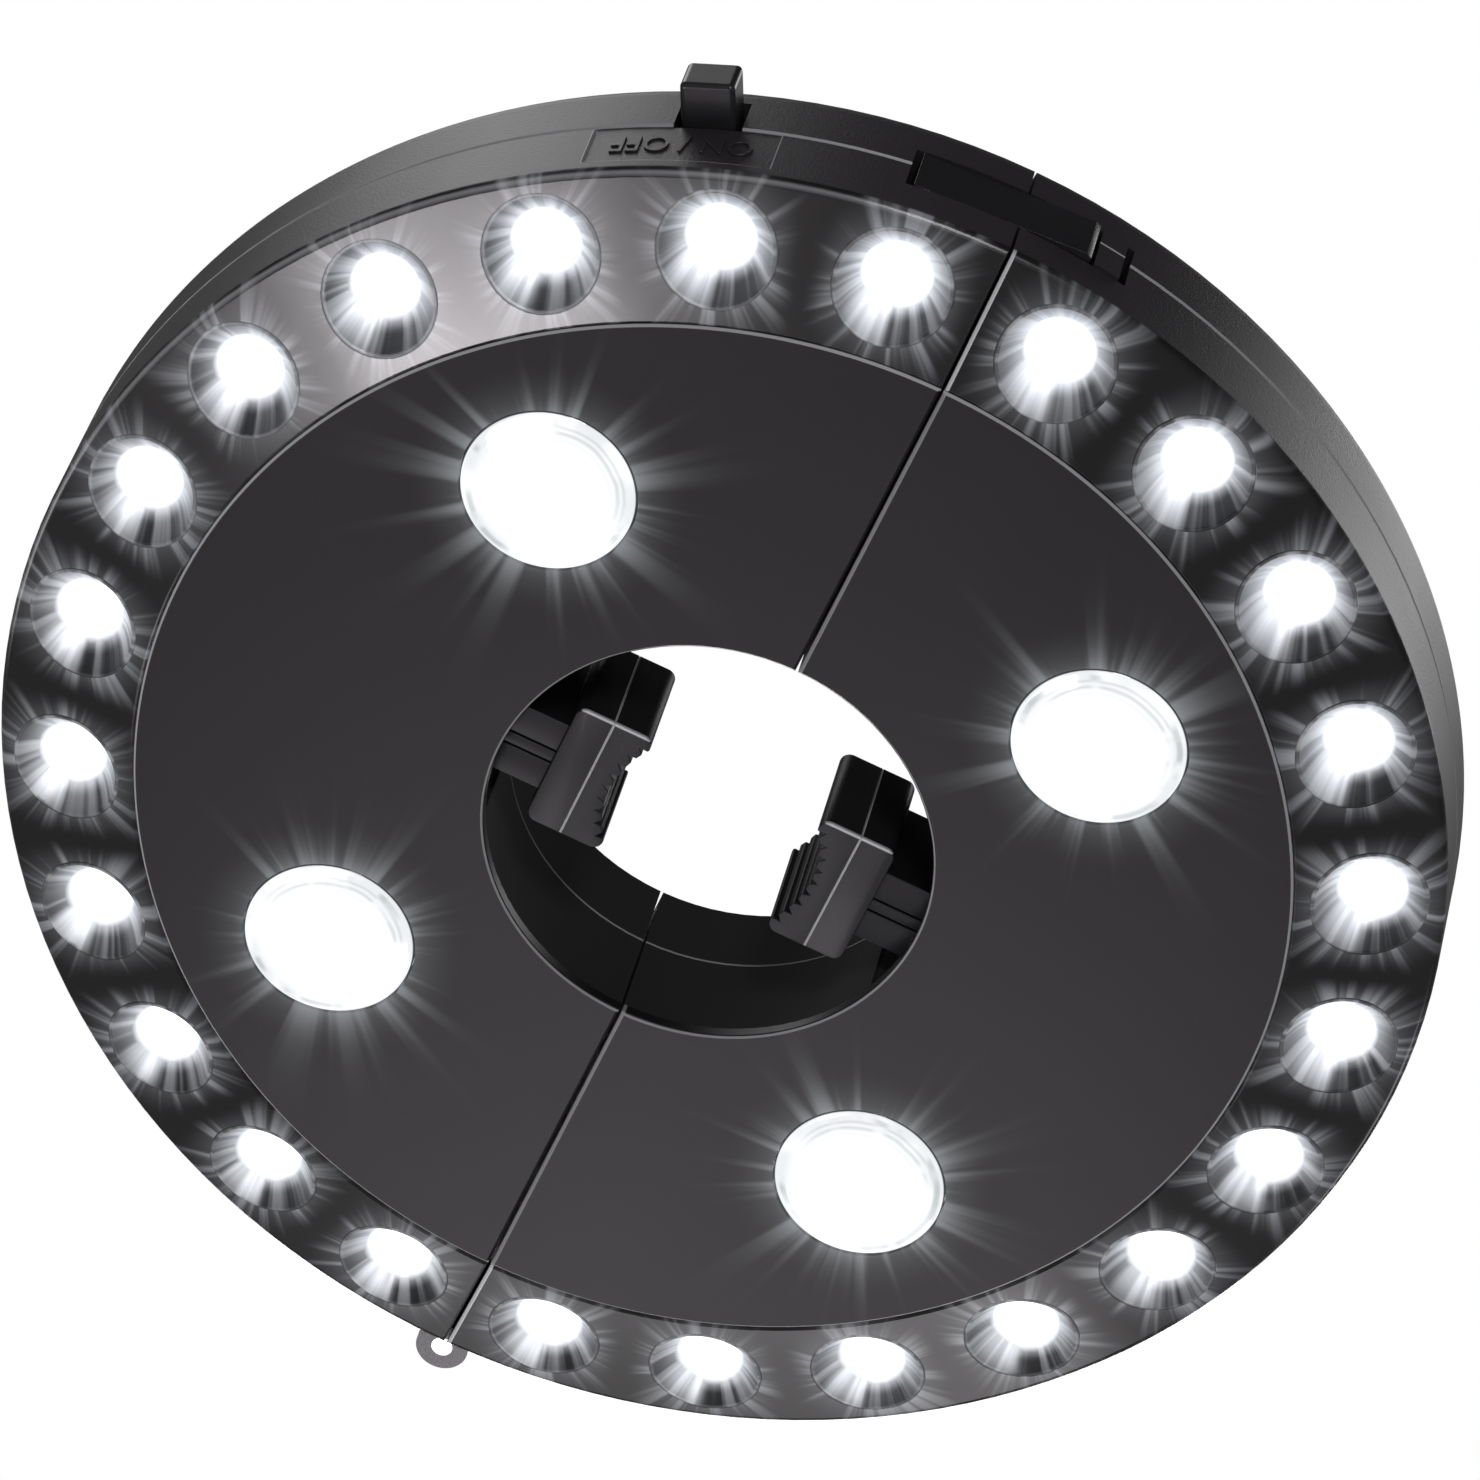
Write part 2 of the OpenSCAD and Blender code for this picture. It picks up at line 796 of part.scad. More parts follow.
// Inner radius of a large reflector at a share of its depth
function spot_cup_r(share) =
    (lens_r - spot_skin) * sqrt(1 - (1 - pow(spot_neck_r / (lens_r - spot_skin), 2)) * share);

module spot_reflectors() {
    foot_h = plate_t + flange_t;
    at_spots() translate([0, 0, foot_h]) rotate_extrude() polygon(concat(
        [for (i = [0:cup_steps]) [spot_cup_r(i / cup_steps), spot_depth * i / cup_steps]],
        [for (i = [cup_steps:-1:0]) [spot_cup_r(i / cup_steps) + spot_skin, spot_depth * i / cup_steps]]
    ));
}

module spot_reflectors_a() {
    color("#c9ccd0") side_a() spot_reflectors();
}

module spot_reflectors_b() {
    color("#c9ccd0") side_b() spot_reflectors();
}

module spot_leds() {
    at_spots() {
        box(-chip_w / 2, chip_w / 2, -chip_w / 2, chip_w / 2, board_h - chip_t, board_h);
        domed_pin(chip_dome_r, board_h - chip_t);
    }
}

module spot_leds_a() {
    color("#f4f8ff") side_a() spot_leds();
}

module spot_leds_b() {
    color("#f4f8ff") side_b() spot_leds();
}

// JAWS

// Plan of a block with its two corners at x1 rounded
module rounded_end(x0, x1, half_w, round) {
    translate([x0, -half_w]) square([x1 - round - x0, 2 * half_w]);
    translate([x0, -(half_w - round)]) square([x1 - x0, 2 * (half_w - round)]);
    for (s = [-1, 1]) translate([x1 - round, s * (half_w - round)]) circle(r = round);
}

// Toothed pad: tooth lands lie on the pole's cylinder, with V grooves between them
module jaw_pad() {
    end_x = grip_r * cos(tooth_half_angle);
    groove_half_w = grip_r * tooth_pitch * PI / 180 - tooth_w;
    teeth = floor(tooth_half_angle / tooth_pitch);
    difference() {
        translate([0, 0, jaw_h]) linear_extrude(jaw_height) difference() {
            mirror([1, 0]) rounded_end(-pad_back, -end_x, jaw_w / 2, jaw_round);
            circle(r = grip_r);
        }
        for (i = [-teeth:teeth]) at_bearing(i * tooth_pitch, grip_r, jaw_h - cut)
            linear_extrude(jaw_height + 2 * cut)
                polygon([[-tooth_depth, groove_half_w], [tooth_depth, 0], [-tooth_depth, -groove_half_w]]);
    }
}

module jaw_pad_a() {
    color("#3c3c3e") side_a() jaw_pad();
}

module jaw_pad_b() {
    color("#3c3c3e") side_b() jaw_pad();
}

module jaw_carrier() {
    difference() {
        union() {
            translate([0, 0, jaw_h]) linear_extrude(jaw_height)
                rounded_end(pad_back, carrier_back, jaw_w / 2, jaw_round);
            box(carrier_back - cut, carrier_back + neck_len, -arm_w / 2, arm_w / 2, arm_h, neck_top_h);
            box(carrier_back, arm_end, -arm_w / 2, arm_w / 2, arm_h, tail_top_h);
        }
        for (s = [-1, 1])
            box(carrier_back, arm_end + cut, s * groove_w / 2 - line_w / 2, s * groove_w / 2 + line_w / 2,
                arm_h - cut, arm_h + groove_depth);
    }
}

module jaw_carrier_a() {
    color("#333335") side_a() jaw_carrier();
}

module jaw_carrier_b() {
    color("#333335") side_b() jaw_carrier();
}

module jaw_spring() {
    translate([arm_end + seat_gap, 0, (arm_h + tail_top_h) / 2]) rotate([0, 90, 0]) difference() {
        cylinder(h = stop_x - arm_end - 2 * seat_gap, r = spring_r);
        translate([0, 0, -cut]) cylinder(h = reach, r = spring_r - spring_wire);
    }
}

module jaw_spring_a() {
    color("#b8bcc2") side_a() jaw_spring();
}

module jaw_spring_b() {
    color("#b8bcc2") side_b() jaw_spring();
}

// BATTERY BAYS

module battery_door() {
    end_x = door_end_x - guide_gap;
    half_l = door_half_l - guide_gap;
    rib_y = bay_half_l / 2;
    box(door_axis_x, end_x, -half_l, half_l, door_h, roof_h);
    translate([door_axis_x, -half_l, door_axis_h]) rotate([-90, 0, 0]) cylinder(h = 2 * half_l, r = door_t / 2);
    translate([door_axis_x, -(door_half_l + trunnion_len), door_axis_h]) rotate([-90, 0, 0])
        cylinder(h = 2 * (door_half_l + trunnion_len), r = trunnion_r);
    box(end_x - tab_in - tab_t, end_x - tab_in, -tab_w / 2, tab_w / 2, door_h - tab_drop, door_h + fit_gap);
    for (s = [-1, 1]) box(bay_x + cell_d, bay_x + bay_w - cell_d, s * rib_y - rib_t / 2, s * rib_y + rib_t / 2,
        door_h - rib_t, door_h + fit_gap);
}

module battery_door_a() {
    color("#2f2f31") side_a() battery_door();
}

module battery_door_b() {
    color("#2f2f31") side_b() battery_door();
}

// Runs its children for each cell, turned so that +Y is the way its nub points
module at_cells() {
    for (i = [0, 1]) translate([bay_x + cell_gap + cell_d / 2 + i * (cell_d + cell_gap), 0, cell_h])
        rotate([0, 0, 180 * i]) children();
}

module battery_cells() {
    end_y = bay_half_l - contact_t - seat_gap;
    at_cells() translate([0, end_y, 0]) rotate([90, 0, 0]) {
        cylinder(h = nub_len + seat_gap, r = nub_r);
        translate([0, 0, nub_len]) cylinder(h = cell_len - nub_len, r = cell_d / 2);
    }
}

module battery_cells_a() {
    color("#8d9196") side_a() battery_cells();
}

module battery_cells_b() {
    color("#8d9196") side_b() battery_cells();
}

module contact_plates() {
    face_y = bay_half_l - contact_t;
    plate_x = bay_x + cell_gap + cell_d / 2;
    low_h = cell_h - contact_w / 2;
    box(plate_x - contact_w / 2, plate_x + cell_d + cell_gap + contact_w / 2, face_y, bay_half_l,
        low_h, low_h + contact_w);
    for (i = [0, 1]) translate([i * (cell_d + cell_gap), 0, 0])
        box(plate_x - contact_w / 2, plate_x + contact_w / 2, -bay_half_l, -face_y, low_h, low_h + contact_w);
}

module contact_plates_a() {
    color("#c4c1b4") side_a() contact_plates();
}

module contact_plates_b() {
    color("#c4c1b4") side_b() contact_plates();
}

module contact_springs() {
    face_y = bay_half_l - contact_t;
    at_cells() translate([0, -face_y, 0]) rotate([-90, 0, 0])
        cylinder(h = contact_spring_len, r1 = contact_spring_r, r2 = contact_tip_r);
}

module contact_springs_a() {
    color("#c4c1b4") side_a() contact_springs();
}

module contact_springs_b() {
    color("#c4c1b4") side_b() contact_springs();
}

// FASTENERS

module shell_screws() {
    slot_w = 0.8;
    at_screws(roof_h - head_sink) {
        translate([0, 0, -screw_len]) cylinder(h = screw_len + fit_gap, r = screw_r);
        difference() {
            cylinder(h = screw_head_t, r = screw_head_r);
            for (a = [0, 90]) rotate([0, 0, a])
                box(-screw_r, screw_r, -slot_w / 2, slot_w / 2, screw_head_t - slot_w, screw_head_t + cut);
        }
    }
}

module shell_screws_a() {
    color("#6f7276") side_a() shell_screws();
}

module shell_screws_b() {
    color("#6f7276") side_b() shell_screws();
}

module hinge_pin() {
    color("#9a9da2") seated() translate([0, hinge_y, knuckle_h]) {
        cylinder(h = knuckle_top - knuckle_h, r = hinge_pin_r);
        translate([0, 0, knuckle_top - knuckle_h]) cylinder(h = hinge_head_t, r = hinge_head_r);
    }
}

// LATCH

module lever_plan() {
    back_end_y = lever_end_y - lever_t;
    back_tip_y = lever_tip_y - lever_t;
    hook_y = keeper_y + guide_gap;
    polygon([[lever_tip_x + lever_round, lever_tip_y - lever_round * lever_lift / lever_t],
        [lever_end_x, lever_end_y], [lever_end_x, back_end_y],
        [lever_tip_x + hook_w, back_tip_y], [lever_tip_x + hook_w, hook_y], [lever_tip_x, hook_y],
        [lever_tip_x, lever_tip_y - lever_round]]);
}

module latch_lever() {
    low_h = recess_h + guide_gap;
    high_h = recess_top_h - guide_gap;
    mid = (low_h + high_h) / 2;
    room = latch_boss_r + seat_gap;
    color("#1c1c1e") seated() difference() {
        union() {
            translate([0, 0, low_h]) linear_extrude(high_h - low_h) lever_plan();
            translate([latch_pin_x, latch_pin_y, low_h]) cylinder(h = high_h - low_h, r = latch_boss_r);
            box(latch_pin_x - latch_boss_r, latch_pin_x + latch_boss_r, latch_pin_y, latch_pin_y + lever_t,
                low_h, high_h);
        }
        translate([latch_pin_x, latch_pin_y, low_h - cut])
            cylinder(h = recess_height + 2 * cut, r = latch_pin_r + fit_gap);
        box(latch_pin_x - room, latch_pin_x + room, latch_pin_y - room, latch_pin_y + room,
            mid - coil_h / 2 - guide_gap, mid + coil_h / 2 + guide_gap);
    }
}

module latch_pin() {
    color("#9a9da2") seated() translate([latch_pin_x, latch_pin_y, recess_h - rib_t + guide_gap])
        cylinder(h = recess_height + 2 * (rib_t - guide_gap), r = latch_pin_r);
}

// Torsion spring round the latch pin, with a leg on the recess wall and a leg behind the lever
module latch_spring() {
    mid = (recess_h + recess_top_h) / 2;
    leg_r = coil_wire / 2;
    color("#b8bcc2") seated() translate([latch_pin_x, latch_pin_y, mid]) {
        difference() {
            translate([0, 0, -coil_h / 2]) cylinder(h = coil_h, r = coil_r);
            translate([0, 0, -coil_h]) cylinder(h = 2 * coil_h, r = latch_pin_r + seat_gap);
        }
        translate([coil_r - leg_r, 0, -coil_h / 2 + leg_r]) rotate([90, 0, 0])
            cylinder(h = latch_pin_y - recess_y - fit_gap, r = leg_r);
        translate([coil_leg_x, lever_end_y - lever_t - seat_gap - leg_r - latch_pin_y, coil_h / 2 - leg_r])
            rotate([0, 90, 0]) cylinder(h = coil_leg, r = leg_r);
    }
}

// BUTTON AND SWITCH

module button_cap() {
    half_w = button_w / 2 - button_round;
    color("#1c1c1e") seated() at_bearing(button_bearing, 0) {
        hull() for (r = [button_back_r + button_round, disc_r + button_out - button_round],
                    s = [-half_w, half_w],
                    h = [button_h + button_round, button_h + button_height - button_round])
            translate([r, s, h]) sphere(r = button_round, $fn = 24);
        box(button_back_r, button_flange_r, -(button_w / 2 + button_flange_w), button_w / 2 + button_flange_w,
            button_h - button_flange_w, button_h + button_height + button_flange_w);
    }
}

module switch_plunger() {
    mid = button_h + button_height / 2;
    color("#d8d8d4") seated() at_bearing(button_bearing, switch_face_r - plunger_in, mid)
        rotate([0, 90, 0]) cylinder(h = plunger_len + plunger_in, r = plunger_r);
}

module switch_body() {
    mid = button_h + button_height / 2;
    color("#303033") seated() at_bearing(button_bearing, switch_face_r - switch_t, mid)
        difference() {
            box(0, switch_t, -switch_w / 2, switch_w / 2, -switch_w / 2, switch_w / 2);
            translate([switch_t - plunger_in - button_travel - guide_gap, 0, 0]) rotate([0, 90, 0])
                cylinder(h = switch_t, r = plunger_r + fit_gap);
        }
}

module driver_board() {
    back_r = switch_face_r - switch_t;
    color("#1f5c3a") seated() at_bearing(button_bearing, 0)
        box(back_r - driver_t, back_r, -driver_w / 2, driver_w / 2, board_top_h, driver_top_h);
}

bottom_shell_a();
top_shell_a();
face_plate_a();
reflector_ring_a();
ring_leds_a();
led_board_a();
spot_lenses_a();
spot_reflectors_a();
spot_leds_a();
jaw_carrier_a();
jaw_pad_a();
jaw_spring_a();
battery_door_a();
battery_cells_a();
contact_plates_a();
contact_springs_a();
shell_screws_a();
bottom_shell_b();
top_shell_b();
face_plate_b();
reflector_ring_b();
ring_leds_b();
led_board_b();
spot_lenses_b();
spot_reflectors_b();
spot_leds_b();
jaw_carrier_b();
jaw_pad_b();
jaw_spring_b();
battery_door_b();
battery_cells_b();
contact_plates_b();
contact_springs_b();
shell_screws_b();
hinge_pin();
latch_lever();
latch_pin();
latch_spring();
button_cap();
switch_plunger();
switch_body();
driver_board();
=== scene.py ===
# %% [markdown]
# # A patio umbrella light, dressed in Blender
# The lamp is a disc in two hinged halves that closes like a collar. A ring of small lamps sits in a
# sloped glossy band, four larger lamps look out of the flat face, and two sprung toothed jaws face each
# other in the hole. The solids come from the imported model. This script gives them their finishes,
# replaces the pieces whose looks need finer forms, and sets the studio.

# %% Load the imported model
import json
import math

import bmesh
import bpy
from mathutils import Matrix, Vector


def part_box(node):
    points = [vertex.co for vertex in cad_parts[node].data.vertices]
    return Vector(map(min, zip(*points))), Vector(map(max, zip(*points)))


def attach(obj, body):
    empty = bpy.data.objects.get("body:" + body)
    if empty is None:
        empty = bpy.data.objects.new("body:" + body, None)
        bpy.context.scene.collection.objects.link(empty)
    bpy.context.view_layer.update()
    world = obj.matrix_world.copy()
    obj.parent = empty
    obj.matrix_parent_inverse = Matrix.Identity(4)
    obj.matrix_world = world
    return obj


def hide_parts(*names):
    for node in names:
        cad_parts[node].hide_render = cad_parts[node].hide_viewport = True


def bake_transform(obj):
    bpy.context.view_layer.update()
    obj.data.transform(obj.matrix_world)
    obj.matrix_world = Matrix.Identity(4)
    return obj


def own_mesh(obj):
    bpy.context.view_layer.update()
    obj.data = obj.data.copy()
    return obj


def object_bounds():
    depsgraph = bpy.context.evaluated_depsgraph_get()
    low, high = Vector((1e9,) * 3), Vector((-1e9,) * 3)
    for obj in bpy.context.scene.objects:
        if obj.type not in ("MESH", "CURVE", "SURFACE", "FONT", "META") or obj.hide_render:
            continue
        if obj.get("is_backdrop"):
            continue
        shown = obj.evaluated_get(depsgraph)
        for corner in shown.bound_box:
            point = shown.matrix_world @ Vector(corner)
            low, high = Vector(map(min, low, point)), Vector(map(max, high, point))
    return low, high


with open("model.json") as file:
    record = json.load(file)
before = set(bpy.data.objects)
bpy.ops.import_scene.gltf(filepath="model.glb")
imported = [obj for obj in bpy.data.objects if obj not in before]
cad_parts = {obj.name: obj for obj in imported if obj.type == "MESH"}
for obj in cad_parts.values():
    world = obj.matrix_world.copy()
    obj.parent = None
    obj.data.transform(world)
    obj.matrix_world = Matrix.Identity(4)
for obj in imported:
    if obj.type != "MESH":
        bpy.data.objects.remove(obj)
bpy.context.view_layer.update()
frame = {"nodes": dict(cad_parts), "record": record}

# %% [markdown]
# Sizes repeat those of the solids, in metres. Heights in the source count from the lit face, and the
# frame's origin lies 11.5 mm over it, halfway up the jaws, so one helper turns a height into a Z.

# %% Sizes of the lamp
MM = 0.001
FACE_Z = -11.5 * MM
DISC_R, FACE_R = 100 * MM, 80 * MM
BAND_RISE = 5.2 * MM
BAND_SLOPE = math.atan2(BAND_RISE, DISC_R - FACE_R)
PARTING_HEIGHT = 18.0

# Small lamps in the band, 12 in each half, and large lamps in the face, 2 in each half
RING_R, RING_STEP, RING_COUNT = 90 * MM, math.radians(15), 12
SPOT_R, SPOT_STEP, SPOT_COUNT = 57.2 * MM, math.radians(90), 2
HALVES = ("a", "b")
FIRST_SMALL = {"a": math.radians(-82.5), "b": math.radians(97.5)}
FIRST_LARGE = {"a": math.radians(-45), "b": math.radians(135)}

CUP_MOUTH_R, CUP_NECK_R, CUP_DEPTH = 7.75 * MM, 3.3 * MM, 5.2 * MM
LENS_R, LENS_CROWN = 12 * MM, 1.3 * MM

# Sunk panel for the switch words: the bearing of its middle and its half width, as angles
PANEL_BEARING, PANEL_HALF = math.radians(63.75), math.radians(7.2)


def z_at(height_mm):
    """Z of a height that is counted in millimetres from the lit face."""
    return FACE_Z + height_mm * MM


def band_height(r_mm):
    """Height of the sloped lamp band at a radius, both in millimetres."""
    return (r_mm * MM - FACE_R) * BAND_RISE / (DISC_R - FACE_R) / MM


print("slope of the lamp band:", round(math.degrees(BAND_SLOPE), 2), "degrees")

# %% [markdown]
# Colours are written as they look on a screen, and turned into the linear values that a shader needs.


# %% Colours
def shade(code):
    """Linear RGBA of a written colour such as 2b2b2d."""
    parts = [int(code[i:i + 2], 16) / 255 for i in (0, 2, 4)]
    return [p / 12.92 if p <= 0.04045 else ((p + 0.055) / 1.055) ** 2.4 for p in parts] + [1.0]


BLACK = shade("000000")
# Grey of the painted highlights on edges and joints
EDGE_HIGHLIGHT_GREY = shade("a5a5a8")

# Tint of the gloss: none, and the faint warm one of black plastic
CLEAR_GLOSS = (1.0, 1.0, 1.0, 1.0)
BLACK_PLASTIC_GLOSS = (1.0, 0.95, 0.99, 1.0)
print("pale edge, linear:", [round(v, 3) for v in EDGE_HIGHLIGHT_GREY])


# %% Small mesh helpers
def as_object(name, data):
    """A new object for a mesh, a text, a camera or a lamp, linked to the scene."""
    made = bpy.data.objects.new(name, data)
    bpy.context.scene.collection.objects.link(made)
    return made


def mesh_from(bm, name):
    """Turns a bmesh into a mesh and frees it."""
    mesh = bpy.data.meshes.new(name)
    bm.to_mesh(mesh)
    bm.free()
    return mesh


def settled_mesh(thing):
    """Plain mesh of an object as it stands with its modifiers, or of a text object."""
    graph = bpy.context.evaluated_depsgraph_get()
    return bpy.data.meshes.new_from_object(thing.evaluated_get(graph), depsgraph=graph)


def smooth_by_angle(mesh, degrees):
    """Smooth faces, with a sharp edge wherever the surface turns by more than the angle."""
    bm = bmesh.new()
    bm.from_mesh(mesh)
    limit = math.radians(degrees)
    for face in bm.faces:
        face.smooth = True
    for edge in bm.edges:
        edge.smooth = edge.is_boundary or edge.calc_face_angle(math.pi) < limit
    bm.to_mesh(mesh)
    bm.free()


def finish_piece(piece, body, slot, material, *nodes):
    """Gives a piece its finish and its body, and hides the solids it stands for; the record slot is not used.
    """
    piece.data.materials.clear()
    piece.data.materials.append(material)
    if body:
        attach(piece, body)
    if nodes:
        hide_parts(*nodes)
    print(piece.name, "faces:", len(piece.data.polygons), "on", body)
    return piece


# %% [markdown]
# ## Finishes
# Every plastic on the lamp shows a trace of its mould: a fine grain, and soft uneven patches where the
# melt cooled. That could be typed into each material. A node group made once keeps the recipe in one
# place, and each material asks for its own scale.


# %% Node helpers
def new_group(name, inputs, outputs, kind="ShaderNodeTree"):
    """An empty node group with named sockets, and its two end nodes."""
    group = bpy.data.node_groups.new(name, kind)
    for label, socket_kind, value in inputs:
        socket = group.interface.new_socket(name=label, in_out="INPUT", socket_type=socket_kind)
        if value is not None:
            socket.default_value = value
    for label, socket_kind in outputs:
        group.interface.new_socket(name=label, in_out="OUTPUT", socket_type=socket_kind)
    return group, group.nodes.new("NodeGroupInput"), group.nodes.new("NodeGroupOutput")


def put(tree, kind, values=None, **settings):
    """A node with its settings, and values or links for its inputs."""
    node = tree.nodes.new(kind)
    for key, value in settings.items():
        setattr(node, key, value)
    for key, value in (values or {}).items():
        if isinstance(value, bpy.types.NodeSocket):
            tree.links.new(value, node.inputs[key])
        else:
            node.inputs[key].default_value = value
    return node


def calc(tree, operation, *terms, clamp=False):
    """Output of a Math node."""
    node = put(tree, "ShaderNodeMath", dict(enumerate(terms)), operation=operation, use_clamp=clamp)
    return node.outputs[0]


def chained(tree, operation, terms):
    """Several values joined by the same operation, two at a time."""
    result = terms[0]
    for term in terms[1:]:
        result = calc(tree, operation, result, term)
    return result


def product(tree, *terms):
    """Product of several values."""
    return chained(tree, "MULTIPLY", terms)


def total(tree, *terms):
    """Sum of several values."""
    return chained(tree, "ADD", terms)


def greatest(tree, *terms):
    """Greatest of several values."""
    return chained(tree, "MAXIMUM", terms)


def inverse(tree, value):
    """1 minus a value."""
    return calc(tree, "SUBTRACT", 1.0, value)


def scaled(tree, value, factor, plus):
    """A value times a factor, and a number more."""
    return calc(tree, "ADD", calc(tree, "MULTIPLY", value, factor), plus)


def along(tree, x, y, way):
    """How far a point, or a direction, reaches along a way in the plane of the disc."""
    return total(tree, product(tree, x, way[0]), product(tree, y, way[1]))


def from_axis(tree, x, y):
    """Distance from an axis along Z."""
    return calc(tree, "SQRT", total(tree, product(tree, x, x), product(tree, y, y)))


def ramp01(tree, value, low, high):
    """0 below low, 1 above high, smooth between."""
    node = put(tree, "ShaderNodeMapRange", {"Value": value, "From Min": low, "From Max": high},
               interpolation_type="SMOOTHSTEP")
    return node.outputs["Result"]


def mixed(tree, share, first, second):
    """Colour between two colours."""
    node = put(tree, "ShaderNodeMix", data_type="RGBA")
    sockets = {s.identifier: s for s in node.inputs}
    for key, value in (("Factor_Float", share), ("A_Color", first), ("B_Color", second)):
        if isinstance(value, bpy.types.NodeSocket):
            tree.links.new(value, sockets[key])
        else:
            sockets[key].default_value = value
    return [s for s in node.outputs if s.identifier == "Result_Color"][0]


# %% Moulded grain
def build_moulded_grain():
    """Group: fine spark grain and slow patches of a moulded surface."""
    group, entry, leave = new_group(
        "Moulded grain",
        [("Place", "NodeSocketVector", None), ("Grain per Metre", "NodeSocketFloat", 2600.0),
         ("Patches per Metre", "NodeSocketFloat", 28.0)],
        [("Height", "NodeSocketFloat"), ("Patches", "NodeSocketFloat")])
    place = entry.outputs["Place"]
    grain = entry.outputs["Grain per Metre"]
    patches = entry.outputs["Patches per Metre"]
    fine = put(group, "ShaderNodeTexNoise", {
        "Vector": place, "Scale": grain, "Detail": 2.0, "Roughness": 0.6})
    pits = put(group, "ShaderNodeTexVoronoi", {"Vector": place, "Scale": grain})
    slow = put(group, "ShaderNodeTexNoise", {"Vector": place, "Scale": patches, "Detail": 3.0})
    height = total(group, fine.outputs["Fac"], product(group, pits.outputs["Distance"], 0.6))
    group.links.new(height, leave.inputs["Height"])
    group.links.new(slow.outputs["Fac"], leave.inputs["Patches"])
    return group


MOULDED_GRAIN = build_moulded_grain()
print("group:", MOULDED_GRAIN.name)

# %% [markdown]
# The lamps are lit. Their glare reaches over the cups and a little over the face as short uneven rays.
# A glare filter would do this to the picture alone, and would be gone from the model. Here the rays are
# a faint glow on the surfaces themselves, drawn round each lamp from the piece's own coordinates: the
# angle round the disc is folded into one lamp's sector, and noise round the lamp sets each ray's length.


# %% Rays round the lamps
def build_lamp_rays():
    """Group: glow round lamps that stand in a circle, with uneven rays, streaks and the way from it."""
    group, entry, leave = new_group(
        "Lamp rays",
        [("Place", "NodeSocketVector", None), ("Circle Radius", "NodeSocketFloat", RING_R),
         ("Step Angle", "NodeSocketFloat", RING_STEP), ("Core Radius", "NodeSocketFloat", 3 * MM),
         ("Reach", "NodeSocketFloat", 9 * MM), ("Rays", "NodeSocketFloat", 5.0),
         ("Seed", "NodeSocketFloat", 0.0)],
        [("Distance", "NodeSocketFloat"), ("Glow", "NodeSocketFloat"), ("Streak", "NodeSocketFloat"),
         ("Way X", "NodeSocketFloat"), ("Way Y", "NodeSocketFloat")])
    circle, step = entry.outputs["Circle Radius"], entry.outputs["Step Angle"]
    full_reach = entry.outputs["Reach"]
    split = put(group, "ShaderNodeSeparateXYZ", {"Vector": entry.outputs["Place"]})
    x, y = split.outputs["X"], split.outputs["Y"]

    # Which sector the point lies in, and where in it: a lamp stands in the middle of each
    turns = calc(group, "DIVIDE", calc(group, "ARCTAN2", y, x), step)
    lamp = calc(group, "FLOOR", turns)
    aside = calc(group, "ABSOLUTE", calc(group, "SUBTRACT", calc(group, "SUBTRACT", turns, lamp), 0.5))
    bearing = product(group, total(group, lamp, 0.5), step)
    u = calc(group, "SUBTRACT", x, product(group, calc(group, "COSINE", bearing), circle))
    v = calc(group, "SUBTRACT", y, product(group, calc(group, "SINE", bearing), circle))
    distance = from_axis(group, u, v)
    safe = calc(group, "MAXIMUM", distance, 0.01 * MM)
    way_x, way_y = calc(group, "DIVIDE", u, safe), calc(group, "DIVIDE", v, safe)

    # Noise round the lamp, in another lane for each, sets the length of the rays
    lane = total(group, product(group, lamp, 3.7), entry.outputs["Seed"])
    around = put(group, "ShaderNodeCombineXYZ", {"X": way_x, "Y": way_y, "Z": lane})
    lengths = put(group, "ShaderNodeTexNoise", {
        "Vector": around.outputs[0], "Scale": entry.outputs["Rays"], "Detail": 2.0, "Roughness": 0.5})
    streak = ramp01(group, lengths.outputs["Fac"], 0.4, 0.7)
    reach = product(group, full_reach, scaled(group, streak, 0.32, 0.08))
    past = greatest(group, calc(group, "SUBTRACT", distance, entry.outputs["Core Radius"]), 0.0)
    ray = calc(group, "EXPONENT", product(group, calc(group, "DIVIDE", past, reach), -1.0))
    halo = calc(group, "SUBTRACT", 1.0, calc(group, "DIVIDE", past, full_reach), clamp=True)
    light = total(group, product(group, ray, 0.86), product(group, halo, halo, 0.2))
    glow = product(group, light, ramp01(group, aside, 0.49, 0.34))
    results = {"Distance": distance, "Glow": glow, "Streak": streak, "Way X": way_x, "Way Y": way_y}
    for label, value in results.items():
        group.links.new(value, leave.inputs[label])
    return group


LAMP_RAYS = build_lamp_rays()
print("group:", LAMP_RAYS.name)


# %% A material to start from
def new_material(name, colour, roughness, metallic=0.0, specular=0.5, coat=0.0, gloss=CLEAR_GLOSS):
    """A Principled material with its constant values set on the shader's own sockets."""
    material = bpy.data.materials.new(name)
    material.use_nodes = True
    tree = material.node_tree
    shader = tree.nodes["Principled BSDF"]
    constants = {"Base Color": colour, "Roughness": roughness, "Metallic": metallic, "Coat Weight": coat,
                 "Coat Roughness": 0.1, "Specular IOR Level": specular, "Specular Tint": gloss}
    for socket, value in constants.items():
        shader.inputs[socket].default_value = value
    place = tree.nodes.new("ShaderNodeTexCoord").outputs["Object"]
    return material, tree, shader, place


def use_group(tree, group, place, **values):
    """A placed node group, read at the piece's own coordinates. An underscore stands for a space."""
    node = put(tree, "ShaderNodeGroup", node_tree=group)
    tree.links.new(place, node.inputs["Place"])
    for key, value in values.items():
        node.inputs[key.replace("_", " ")].default_value = value
    return node


def bumped(tree, shader, height, strength, depth):
    """Feeds a height through a Bump node into the shader's normal."""
    bump = put(tree, "ShaderNodeBump", {"Height": height, "Strength": strength, "Distance": depth})
    tree.links.new(bump.outputs["Normal"], shader.inputs["Normal"])


